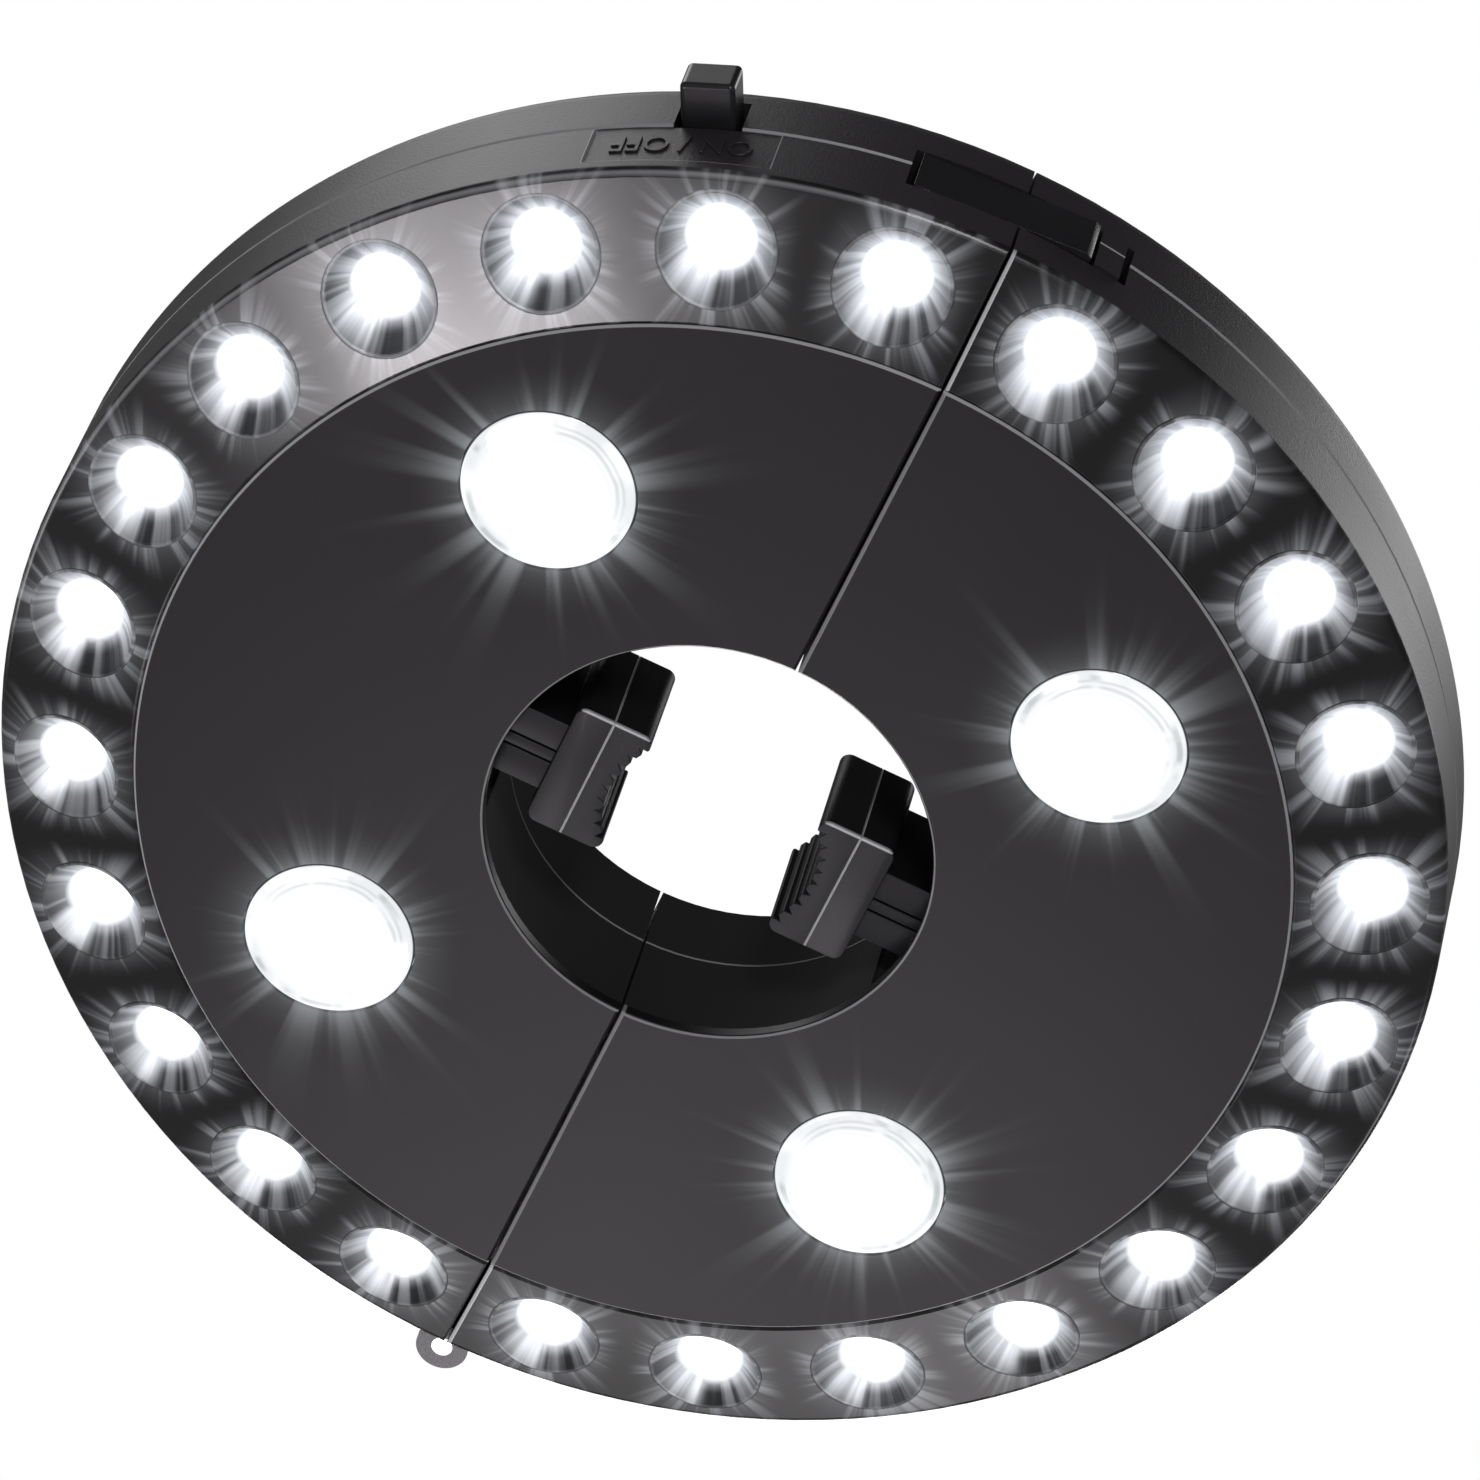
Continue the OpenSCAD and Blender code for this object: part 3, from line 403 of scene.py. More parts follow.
def uneven_polish(tree, shader, value, roughness, spread):
    """Roughness that wanders with a value, half the spread to each side of its middle."""
    tree.links.new(scaled(tree, value, spread, roughness - spread / 2), shader.inputs["Roughness"])


def shining(tree, shader, colour, strength=1.0):
    """Light that the surface gives off itself."""
    tree.links.new(colour, shader.inputs["Emission Color"])
    shader.inputs["Emission Strength"].default_value = strength


def towards(tree, rays, degrees, low, high):
    """1 on the side of each lamp that lies towards a direction in the plane of the disc."""
    turn = math.radians(degrees)
    reach = along(tree, rays.outputs["Way X"], rays.outputs["Way Y"], (math.cos(turn), math.sin(turn)))
    return ramp01(tree, reach, low, high)


# %% [markdown]
# Moulded edges and the joints between pieces show as fine light lines where their small bevels catch a
# lamp. The bevels are in the solids. A group measures how far a point lies from such a line, and the
# finishes paint a highlight there, a little paler than the surface.


# %% Line mask for painted edge highlights
def build_edge_line():
    """Group: 1 within 0.6 of a width of a value, fading to 0 at the full width."""
    group, entry, leave = new_group(
        "Edge line", [("Value", "NodeSocketFloat", 0.0), ("At", "NodeSocketFloat", 0.0),
                      ("Width", "NodeSocketFloat", 0.4 * MM)], [("Line", "NodeSocketFloat")])
    away = calc(group, "ABSOLUTE", calc(group, "SUBTRACT", entry.outputs["Value"], entry.outputs["At"]))
    share = calc(group, "DIVIDE", away, entry.outputs["Width"])
    group.links.new(ramp01(group, share, 1.0, 0.6), leave.inputs["Line"])
    return group


EDGE_LINE = build_edge_line()


def edge_line(tree, value, at, width):
    """Mask of a line where a value, such as the radius or the height, has a given size."""
    node = put(tree, "ShaderNodeGroup", {"Value": value, "At": at, "Width": width}, node_tree=EDGE_LINE)
    return node.outputs[0]


def disc_places(tree, place):
    """X, Y, Z and the distance from the disc's axis."""
    split = put(tree, "ShaderNodeSeparateXYZ", {"Vector": place})
    x, y, z = (split.outputs[k] for k in "XYZ")
    return x, y, z, from_axis(tree, x, y)


print("group:", EDGE_LINE.name)


# %% [markdown]
# The lower shell is one moulding with two finishes: the lamp band is polished, and the side wall carries
# a spark grain. Its material tells them apart by height, as the tool maker's texture border does.


# %% Painted highlights on the shells
# Way to the side of the rim with a painted highlight, and half the span of the panel foot's painted line, in
# radians
RIM_HIGHLIGHT_SIDE = (0.77, 0.64)
PANEL_FOOT_HALF = 0.1262


def shell_highlights(tree, x, y, z, radius, band):
    """Mask of painted highlights on the parting line, the seam, one side of the rim, and the edges of the
    sunk panel.
    """
    # Painted highlights on the parting line and on the seam's bevel
    joint = product(tree, edge_line(tree, z, z_at(PARTING_HEIGHT + 0.05), 0.2 * MM), 0.7)
    seam = product(tree, edge_line(tree, x, -0.5 * MM, 0.3 * MM), band)
    # A painted highlight on the outer edge of the band, strongest on one side of the disc
    highlit_side = ramp01(tree, along(tree, x, y, RIM_HIGHLIGHT_SIDE), 55 * MM, 90 * MM)
    at_rim = product(tree, ramp01(tree, radius, 98.9 * MM, 99.8 * MM), ramp01(tree, z, z_at(5.7), z_at(5.2)))
    rim = product(tree, at_rim, highlit_side, 0.5)

    # Painted highlights on the ends and the foot of the sunk panel, on the wall only
    bearing = calc(tree, "ARCTAN2", y, x)
    ends = greatest(tree, *(edge_line(tree, bearing, PANEL_BEARING + side * PANEL_HALF, 0.0016)
                            for side in (-1, 1)))
    sides = product(tree, ends, ramp01(tree, z, z_at(PARTING_HEIGHT), z_at(PARTING_HEIGHT - 0.1)))
    foot = product(tree, edge_line(tree, z, z_at(7.9), 0.16 * MM),
                   edge_line(tree, bearing, PANEL_BEARING, PANEL_FOOT_HALF))
    on_wall = product(tree, ramp01(tree, radius, 99.0 * MM, 99.4 * MM), ramp01(tree, z, z_at(7.7), z_at(7.9)))
    panel = product(tree, greatest(tree, sides, foot), on_wall, 0.6)
    return greatest(tree, joint, rim, seam, panel)


# The bearing of the side of the rim that gets the painted highlight
print("worn side of the rim:", round(math.degrees(math.atan2(RIM_HIGHLIGHT_SIDE[1], RIM_HIGHLIGHT_SIDE[0]))), "degrees")


# %% Finish of the shells
def build_shell_finish():
    """Grained side wall and roof, polished lamp band with the lamps' glow on it, painted shade in the hole,
    and painted highlights on edges.
    """
    material, tree, shader, place = new_material(
        "shell_plastic", shade("1d1d1f"), 0.45, gloss=BLACK_PLASTIC_GLOSS)
    grain = use_group(tree, MOULDED_GRAIN, place, Grain_per_Metre=2400.0, Patches_per_Metre=24.0)
    patches = grain.outputs["Patches"]
    x, y, z, radius = disc_places(tree, place)
    low = ramp01(tree, z, z_at(6.5), z_at(5.9))
    band = product(tree, low, ramp01(tree, radius, 78.5 * MM, 79.2 * MM))
    # Painted shade: the wall of the hole turns near black, as if unlit, and grows rougher
    throat_shade = ramp01(tree, radius, 32.0 * MM, 31.3 * MM)
    wall = inverse(tree, band)

    grained = mixed(tree, patches, shade("1c191c"), shade("262326"))
    unlit = mixed(tree, throat_shade, grained, shade("040404"))
    plain = mixed(tree, band, unlit, shade("0c0b0c"))
    # Painted highlights make the colour paler along these edges
    painted_highlight = product(tree, shell_highlights(tree, x, y, z, radius, band), 0.75)
    tree.links.new(mixed(tree, painted_highlight, plain, EDGE_HIGHLIGHT_GREY), shader.inputs["Base Color"])

    worn = total(tree, product(tree, patches, 0.12), scaled(tree, throat_shade, 0.55, 0.38))
    polish = scaled(tree, patches, 0.08, 0.16)
    rough = total(tree, product(tree, worn, wall), product(tree, polish, band))
    tree.links.new(rough, shader.inputs["Roughness"])
    bumped(tree, shader, product(tree, grain.outputs["Height"], wall), 0.25, 0.12 * MM)

    rays = use_group(tree, LAMP_RAYS, place, Circle_Radius=RING_R, Step_Angle=RING_STEP,
                     Core_Radius=3.6 * MM, Reach=10 * MM, Rays=5.0)
    glow = product(tree, rays.outputs["Glow"], band, 0.8)
    shining(tree, shader, mixed(tree, glow, BLACK, shade("eef2fa")))
    return material


SHELL = build_shell_finish()
print("finish:", SHELL.name)

# %% [markdown]
# The face plates are thin satin plates inside the band. Black alone would look like a hole, so they get
# two close dark tones, a fine grain that breaks up the gloss, painted highlights on their rims and seam,
# and the glow of the four large lamps round their lenses.


# %% Finish of the face plates
def build_face_finish():
    """Smooth satin charcoal with painted edge highlights, and the four large lamps' glow round their lenses.
    """
    material, tree, shader, place = new_material(
        "face_plastic", shade("111012"), 0.36, specular=0.1, gloss=BLACK_PLASTIC_GLOSS)
    grain = use_group(tree, MOULDED_GRAIN, place, Grain_per_Metre=3600.0, Patches_per_Metre=14.0)
    patches = grain.outputs["Patches"]
    x, _, _, radius = disc_places(tree, place)
    # Painted highlights on the outer and inner rims and on the seam
    outer_rim_highlight = product(tree, edge_line(tree, radius, 79.7 * MM, 0.2 * MM), 0.7)
    inner_rim_highlight = product(tree, edge_line(tree, radius, 31.25 * MM, 0.16 * MM), 0.5)
    seam = product(tree, edge_line(tree, x, -0.45 * MM, 0.3 * MM), 0.4)
    painted_highlight = product(tree, greatest(tree, outer_rim_highlight, inner_rim_highlight, seam), 0.75)
    plain = mixed(tree, patches, shade("0b090b"), shade("110f11"))
    tree.links.new(mixed(tree, painted_highlight, plain, EDGE_HIGHLIGHT_GREY), shader.inputs["Base Color"])
    uneven_polish(tree, shader, patches, 0.35, 0.1)
    bumped(tree, shader, grain.outputs["Height"], 0.10, 0.06 * MM)

    rays = use_group(tree, LAMP_RAYS, place, Circle_Radius=SPOT_R, Step_Angle=SPOT_STEP,
                     Core_Radius=10.4 * MM, Reach=9.2 * MM, Rays=5.5, Seed=1.3)
    glow = product(tree, rays.outputs["Glow"], 0.42)
    shining(tree, shader, mixed(tree, glow, BLACK, shade("e6edf2")))
    return material


FACE = build_face_finish()
print("finish:", FACE.name)

# %% [markdown]
# Jaws, pads, doors, lever, button and switch are small mouldings that differ in tone, gloss and grain
# only. Six materials could each be built from the start. One function with those differences as its
# values keeps them alike, as pieces from the same works are.


# %% Plain plastics and rubber
def build_plastic(name, dark, light, rough, grain_per_metre, bump, specular=0.45):
    """A moulded plastic: two close tones in slow patches, and a grain of its own scale."""
    material, tree, shader, place = new_material(
        name, shade(dark), rough, specular=specular, gloss=BLACK_PLASTIC_GLOSS)
    grain = use_group(tree, MOULDED_GRAIN, place, Grain_per_Metre=grain_per_metre, Patches_per_Metre=60.0)
    patches = grain.outputs["Patches"]
    tree.links.new(mixed(tree, patches, shade(dark), shade(light)), shader.inputs["Base Color"])
    uneven_polish(tree, shader, patches, rough, 0.14)
    bumped(tree, shader, grain.outputs["Height"], bump, 0.1 * MM)
    return material


CARRIER = build_plastic("jaw_carrier_plastic", "100f11", "171618", 0.36, 2600.0, 0.12, specular=0.12)
PAD = build_plastic("jaw_pad_rubber", "121113", "19181a", 0.45, 3200.0, 0.2, specular=0.12)
DOOR = build_plastic("door_plastic", "1c191c", "262326", 0.42, 2400.0, 0.22, specular=0.5)
GLOSS_BLACK = build_plastic("gloss_black_plastic", "161517", "201f21", 0.24, 1800.0, 0.03, specular=0.3)
SWITCH = build_plastic("switch_plastic", "232326", "2c2c30", 0.35, 2600.0, 0.1)
PLUNGER = build_plastic("plunger_plastic", "cfcfc9", "dcdcd6", 0.3, 2600.0, 0.05)
print("plastics:", CARRIER.name, PAD.name, DOOR.name, GLOSS_BLACK.name, SWITCH.name, PLUNGER.name)

# %% [markdown]
# Where a toothed pad is pressed on its carrier, two rounded edges meet and catch the light in one fine
# line. It is painted on both finishes after they are made as a highlight, with one more on the rounded
# edge towards the latch, at the places that the box of the pad's solid gives.


# %% Painted highlights on the jaws
def paint_jaw_highlights(material, joint_x, top_y, low_z):
    """Adds a painted highlight along the joint of carrier and pad, and on the rounded edge towards the latch.
    """
    tree = material.node_tree
    shader = tree.nodes["Principled BSDF"]
    plain = shader.inputs["Base Color"].links[0].from_socket
    x, y, z, _ = disc_places(tree, tree.nodes["Texture Coordinate"].outputs["Object"])
    # Painted highlights on the joint line and on the rounded edge towards the latch
    joint = edge_line(tree, calc(tree, "ABSOLUTE", x), joint_x, 0.18 * MM)
    edge = product(tree, edge_line(tree, y, top_y, 0.4 * MM), edge_line(tree, z, low_z, 0.4 * MM))
    painted_highlight = product(tree, greatest(tree, joint, edge), 0.7)
    tree.links.new(mixed(tree, painted_highlight, plain, shade("9c9c9f")), shader.inputs["Base Color"])


pad_low, pad_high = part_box("jaw_pad_a")
for jaw_finish in (CARRIER, PAD):
    paint_jaw_highlights(jaw_finish, pad_high.x, pad_high.y - 0.1 * MM, pad_low.z + 0.1 * MM)
print("joint of carrier and pad at x:", round(pad_high.x / MM, 2), "mm")

# %% [markdown]
# Spring wire, screws, pins and contacts are bare metal that was drawn, turned or stamped, which leaves
# fine streaks. An anisotropic gloss would hint at them. Stretched noise in the colour, the polish and the
# bump shows them from near by as well.


# %% Metals
def build_metal(name, dark, light, rough, streaks):
    """A bare metal with fine streaks along Z and small changes in its polish."""
    material, tree, shader, place = new_material(name, shade(light), rough, metallic=1.0)
    stretched = put(tree, "ShaderNodeMapping", {"Vector": place, "Scale": (1.0, 1.0, 0.12)})
    noise = put(tree, "ShaderNodeTexNoise", {"Vector": stretched.outputs[0], "Scale": streaks, "Detail": 4.0})
    streak = noise.outputs["Fac"]
    tree.links.new(mixed(tree, streak, shade(dark), shade(light)), shader.inputs["Base Color"])
    uneven_polish(tree, shader, streak, rough, 0.14)
    bumped(tree, shader, streak, 0.12, 0.05 * MM)
    return material


SPRING_WIRE = build_metal("spring_wire", "8d9196", "c2c5c9", 0.28, 1500.0)
ZINC = build_metal("zinc_screw", "6d7074", "a1a4a8", 0.34, 900.0)
GROUND_PIN = build_metal("ground_pin", "8b8e93", "b9bcc0", 0.22, 1300.0)
NICKEL = build_metal("nickel_contact", "a7a395", "cfccc0", 0.26, 1100.0)
print("metals:", SPRING_WIRE.name, ZINC.name, GROUND_PIN.name, NICKEL.name)

# %% [markdown]
# The circuit boards lie behind the lamps, closed in by the shells, and are seen when the lamp is taken
# apart. Tracks could be cut as geometry, but they are thinner than paint. A Brick texture with thin
# joints gives square-cornered tracks under the green mask, with no picture file.


# %% Circuit boards
def build_board_finish():
    """Green solder mask over faint square-cornered tracks."""
    material, tree, shader, place = new_material("solder_mask", shade("1c5a38"), 0.3, coat=0.4)
    tracks = put(tree, "ShaderNodeTexBrick", {
        "Vector": place, "Scale": 160.0, "Mortar Size": 0.06, "Color1": shade("17512f"),
        "Color2": shade("1b5b37"), "Mortar": shade("2d7a4c")}, offset=0.5)
    tree.links.new(tracks.outputs["Color"], shader.inputs["Base Color"])
    bumped(tree, shader, tracks.outputs["Fac"], 0.2, 0.05 * MM)
    return material


BOARD = build_board_finish()
print("finish:", BOARD.name)

# %% [markdown]
# A battery cell is a steel can in a sleeve that ends just short of the can's ends. Can and sleeve could
# be two pieces. One material that reads the place along the cell turns to bare metal there instead.


# %% Battery cells
def build_cell_finish():
    """A plain sleeved cell: a dark sleeve, and bare metal ends."""
    material, tree, shader, place = new_material("cell_sleeve", shade("50555a"), 0.32, coat=0.3)
    y = put(tree, "ShaderNodeSeparateXYZ", {"Vector": place}).outputs["Y"]
    middle = product(tree, *(ramp01(tree, y, side * 26.2 * MM, side * 25.8 * MM) for side in (-1, 1)))
    noise = put(tree, "ShaderNodeTexNoise", {"Vector": place, "Scale": 90.0, "Detail": 2.0})
    sleeve = mixed(tree, noise.outputs["Fac"], shade("3c4146"), shade("50565c"))
    tree.links.new(mixed(tree, middle, shade("c3c4c5"), sleeve), shader.inputs["Base Color"])
    tree.links.new(inverse(tree, middle), shader.inputs["Metallic"])
    return material


CELL = build_cell_finish()
print("finish:", CELL.name)

# %% [markdown]
# ## Lamps in the band
# Each small lamp is a diode in a bright cup. The cup's wall has fine flutes, which comb the light into
# streaks. A smooth bowl would be easier, but it would show one even ring. So one fluted lining is built,
# and a Geometry Nodes tree sets copies of it round the band, over the cups of the solid ring. The cup's
# finish also paints light on it: reflection streaks, a highlight on one side and shade on the other.


# %% Finish of the cups
def build_cup_finish():
    """Metallised plastic with the diode's glare in streaks, painted reflection streaks, a painted highlight
    on one side and painted shade on the other.
    """
    material, tree, shader, place = new_material("bright_reflector", shade("9a9da1"), 0.3, metallic=1.0)
    rays = use_group(tree, LAMP_RAYS, place, Circle_Radius=RING_R, Step_Angle=RING_STEP,
                     Core_Radius=3.6 * MM, Reach=12 * MM, Rays=4.0)
    streak, distance = rays.outputs["Streak"], rays.outputs["Distance"]
    # Painted shade on one side of each cup, broken by the streaks
    combed = inverse(tree, product(tree, streak, 0.45))
    dark = product(tree, towards(tree, rays, -136, 0.74, 0.93), combed,
                   ramp01(tree, distance, 4.6 * MM, 6.2 * MM))
    # Painted highlight on the lit side of each cup, near the diode
    painted_lit_side = product(tree, towards(tree, rays, -78, 0.82, 0.96), ramp01(tree, distance, 8.8 * MM, 5.2 * MM))
    # Painted shade further from the diode, less on the lit side
    away = product(tree, ramp01(tree, distance, 4.2 * MM, 7.4 * MM),
                   inverse(tree, product(tree, painted_lit_side, 0.7)))
    # Colours: painted reflection streaks, painted shade away from the diode and on the shaded side, a grey
    # lip
    fluted = mixed(tree, streak, shade("8d8f92"), shade("a5a8ab"))
    silver = mixed(tree, away, fluted, shade("4a4b4e"))
    lip = ramp01(tree, distance, 7.65 * MM, 7.8 * MM)
    shown = mixed(tree, lip, mixed(tree, dark, silver, shade("343437")), shade("3a3a3c"))
    tree.links.new(shown, shader.inputs["Base Color"])
    uneven_polish(tree, shader, streak, 0.44, 0.12)

    core = ramp01(tree, distance, 5.5 * MM, 4.0 * MM)
    # The glare glows, and so does the painted highlight on the lit side
    lights = total(tree, product(tree, rays.outputs["Glow"], 0.75), product(tree, painted_lit_side, 0.5))
    glare = product(tree, lights, inverse(tree, product(tree, dark, 0.85)), 0.7)
    in_cup = ramp01(tree, distance, 8.15 * MM, 7.75 * MM)
    lit = product(tree, calc(tree, "MAXIMUM", core, glare, clamp=True), in_cup)
    shining(tree, shader, mixed(tree, lit, BLACK, shade("f6f9ff")), 1.1)
    return material


CUP = build_cup_finish()
print("finish:", CUP.name)

# %% [markdown]
# The diode stands in the cup's neck. Its clear resin would need many light paths to render, so it is
# drawn as it looks when it is lit: a white glow that cools towards the foot.


# %% Finish of the diodes
def build_diode_finish():
    """A lit diode: glowing clear resin that cools towards its foot."""
    material, tree, shader, place = new_material("diode_resin", shade("8a9098"), 0.2, specular=0.4)
    z = put(tree, "ShaderNodeSeparateXYZ", {"Vector": place}).outputs["Z"]
    low = ramp01(tree, z, z_at(8.4), z_at(6.0))
    shining(tree, shader, mixed(tree, low, shade("d5def0"), shade("ffffff")), 1.6)
    return material


DIODE = build_diode_finish()
print("finish:", DIODE.name)

# %% [markdown]
# Twelve small lamps in each half stand on an arc, 15 degrees apart, and lean with the slope of the band.
# An Array modifier could repeat them round a turned empty object. A tree that takes the count, radius,
# step and tilt as named inputs needs no helper object, and sets the large lenses too.


# %% Geometry Nodes: copies on an arc
def end_tree(tree, geometry, finish, leave):
    """Ends a tree: instances become real faces and take the finish."""
    real = put(tree, "GeometryNodeRealizeInstances", {"Geometry": geometry})
    painted = put(tree, "GeometryNodeSetMaterial", {"Geometry": real.outputs[0], "Material": finish})
    tree.links.new(painted.outputs[0], leave.inputs[0])


def build_arc_tree():
    """Tree: copies of a piece on an arc round Z, each turned to face out and tilted to the slope."""
    tree, entry, leave = new_group(
        "Copies on an arc",
        [("Count", "NodeSocketInt", RING_COUNT), ("Radius", "NodeSocketFloat", RING_R),
         ("Height", "NodeSocketFloat", 0.0), ("First Angle", "NodeSocketFloat", 0.0),
         ("Step Angle", "NodeSocketFloat", RING_STEP), ("Tilt", "NodeSocketFloat", 0.0),
         ("Piece", "NodeSocketObject", None), ("Finish", "NodeSocketMaterial", None)],
        [("Geometry", "NodeSocketGeometry")], "GeometryNodeTree")
    index = tree.nodes.new("GeometryNodeInputIndex").outputs[0]
    angle = total(tree, product(tree, index, entry.outputs["Step Angle"]), entry.outputs["First Angle"])
    radius = entry.outputs["Radius"]
    spot = put(tree, "ShaderNodeCombineXYZ", {
        "X": product(tree, radius, calc(tree, "COSINE", angle)),
        "Y": product(tree, radius, calc(tree, "SINE", angle)), "Z": entry.outputs["Height"]})
    points = put(tree, "GeometryNodePoints", {"Count": entry.outputs["Count"], "Position": spot.outputs[0]})
    tilt = product(tree, entry.outputs["Tilt"], -1.0)
    turned = put(tree, "ShaderNodeCombineXYZ", {"Y": tilt, "Z": angle})
    source = put(tree, "GeometryNodeObjectInfo", {"Object": entry.outputs["Piece"]})
    copies = put(tree, "GeometryNodeInstanceOnPoints", {
        "Points": points.outputs[0], "Instance": source.outputs["Geometry"], "Rotation": turned.outputs[0]})
    end_tree(tree, copies.outputs[0], entry.outputs["Finish"], leave)
    return tree


def grow(name, tree, values):
    """Runs a tree with the named values and keeps its result as a plain mesh in a new object."""
    host = as_object(name + "_host", bpy.data.meshes.new(name + "_host"))
    modifier = host.modifiers.new("grow", "NODES")
    modifier.node_group = tree
    for item in tree.interface.items_tree:
        if item.in_out == "INPUT" and item.name in values:
            modifier[item.identifier] = values[item.name]
    mesh = settled_mesh(host)
    host.modifiers.remove(modifier)
    bpy.data.objects.remove(host)
    mesh.name = name
    return as_object(name, mesh)


ARC_TREE = build_arc_tree()
print("tree:", ARC_TREE.name)

# %% [markdown]
# Diodes and lenses are round bodies. The Screw modifier could turn their profiles. A few lines of mesh
# code do the same, close each body on its axis with triangles, and leave no double points.


# %% Turning on a lathe
def turned_row(bm, radius, z, steps):
    """A closed row of points round Z. On the axis it is one point, repeated."""
    if radius == 0:
        return [bm.verts.new((0, 0, z))] * steps
    turns = [2 * math.pi * j / steps for j in range(steps)]
    return [bm.verts.new((radius * math.cos(turn), radius * math.sin(turn), z)) for turn in turns]


def skin_over(bm, rows):
    """Faces between each two rows in a list. A row that is one point gets triangles."""
    for low, high in zip(rows, rows[1:]):
        for j in range(len(low)):
            k = (j + 1) % len(low)
            corners = []
            for v in (low[j], low[k], high[k], high[j]):
                if v not in corners:
                    corners.append(v)
            if len(corners) > 2:
                bm.faces.new(corners)
    bmesh.ops.recalc_face_normals(bm, faces=bm.faces)


def lathe(name, profile, steps, smooth=40):
    """A closed body turned round Z from (radius, z) points. The first and last points lie on the axis."""
    bm = bmesh.new()
    skin_over(bm, [turned_row(bm, radius, z, steps) for radius, z in profile])
    mesh = mesh_from(bm, name)
    smooth_by_angle(mesh, smooth)
    return as_object(name, mesh)


def dome(radius, foot, tip, steps):
    """Points of a quarter arc from the tip on the axis to the foot at full radius."""
    turns = [math.pi / 2 * i / steps for i in range(steps + 1)]
    return [(radius * math.sin(turn), foot + (tip - foot) * math.cos(turn)) for turn in turns]


# The resin in heights from the lit face: a dome, a straight side, and a collar round the foot
DIODE_R, COLLAR_R = 2.5 * MM, 2.7 * MM
DIODE_PROFILE = dome(DIODE_R, 6.4 * MM, 3.9 * MM, 8) + [
    (DIODE_R, 7.6 * MM), (COLLAR_R, 7.7 * MM), (COLLAR_R, 8.5 * MM), (0, 8.5 * MM)]
DIODE_SOURCE = lathe("diode_source", DIODE_PROFILE, 24)
print("one diode has", len(DIODE_SOURCE.data.polygons), "faces")


# %% One fluted lining
def cup_radius(depth):
    """Inner radius of a cup at a depth, both in metres, on the solid's own curve."""
    narrowing = 1 - (CUP_NECK_R / CUP_MOUTH_R) ** 2
    return CUP_MOUTH_R * math.sqrt(1 - narrowing * min(depth / CUP_DEPTH, 1.0))


def fluted_row(bm, depth, inset, flute_depth, flutes, steps):
    """A closed row of points just inside the cup's wall, drawn in a little at each flute."""
    row = []
    for j in range(steps):
        turn = 2 * math.pi * j / steps
        drawn_in = flute_depth * (0.5 - 0.5 * math.cos(flutes * turn))
        r = (cup_radius(depth) - inset) * (1 - drawn_in)
        row.append(bm.verts.new((r * math.cos(turn), r * math.sin(turn), depth)))
    return row


def build_lining(flutes=20, steps=80, rings=7):
    """A thin fluted wall just inside a cup, closed behind the diode's foot. It opens downwards."""
    lip, skin, clearance, flute_depth = 0.12 * MM, 0.05 * MM, 0.07 * MM, 0.006
    bm = bmesh.new()
    walls = []
    for inset in (clearance + skin, clearance):
        rows = []
        for i in range(rings + 1):
            depth = lip + (CUP_DEPTH - lip) * (i / rings) ** 0.8
            fade_in = min(1.0, 2.5 * i / rings)
            rows.append(fluted_row(bm, depth, inset, flute_depth * fade_in, flutes, steps))
        walls.append(rows)
    inner, outer = walls
    floor = turned_row(bm, 0, CUP_DEPTH, steps)
    back = turned_row(bm, 0, CUP_DEPTH + 0.06 * MM, steps)
    skin_over(bm, [floor] + inner[::-1] + outer + [back])
    mesh = mesh_from(bm, "lining_source")
    smooth_by_angle(mesh, 50)
    return as_object("lining_source", mesh)


LINING_SOURCE = build_lining()
print("one lining has", len(LINING_SOURCE.data.polygons), "faces")

# %% [markdown]
# The solid ring has plain cups, and the fluted linings stand 0.07 mm inside their walls. Both are kept as
# one piece, so that one piece stands for one solid.


# %% Solid ring and linings as one piece
def joined(name, *meshes):
    """One object from several meshes, each merged where its points coincide."""
    bm = bmesh.new()
    for mesh in meshes:
        part = bmesh.new()
        part.from_mesh(mesh)
        bmesh.ops.remove_doubles(part, verts=part.verts, dist=1e-6)
        part.to_mesh(mesh)
        part.free()
        bm.from_mesh(mesh)
    mesh = mesh_from(bm, name)
    smooth_by_angle(mesh, 40)
    return as_object(name, mesh)


for half in HALVES:
    ring = {"Count": RING_COUNT, "First Angle": FIRST_SMALL[half], "Step Angle": RING_STEP}
    linings = grow("linings_" + half, ARC_TREE, {
        **ring, "Radius": RING_R, "Height": z_at(band_height(RING_R / MM)), "Tilt": BAND_SLOPE,
        "Piece": LINING_SOURCE, "Finish": CUP})
    node = "reflector_ring_" + half
    solid = frame["nodes"][node].data.copy()
    cups = joined("fluted_cups_" + half, solid, linings.data)
    bpy.data.objects.remove(linings)
    finish_piece(cups, "half_" + half, "reflector", CUP, node)
    diodes = grow("band_diodes_" + half, ARC_TREE, {
        **ring, "Radius": 88.85 * MM, "Height": FACE_Z, "Piece": DIODE_SOURCE, "Finish": DIODE})
    finish_piece(diodes, "half_" + half, "diode", DIODE, "ring_leds_" + half)
for source in (LINING_SOURCE, DIODE_SOURCE):
    bpy.data.objects.remove(source)

# %% [markdown]
# ## Lenses in the face
# A large lamp is a shallow dome lens whose rim is cut in fine rings. The rings bend the light, and show
# as grey-green lines round a white middle. Clear glass over a real reflector would be true as well, but
# grainy to render, so the lens is turned on the lathe with its rings and glows by itself.


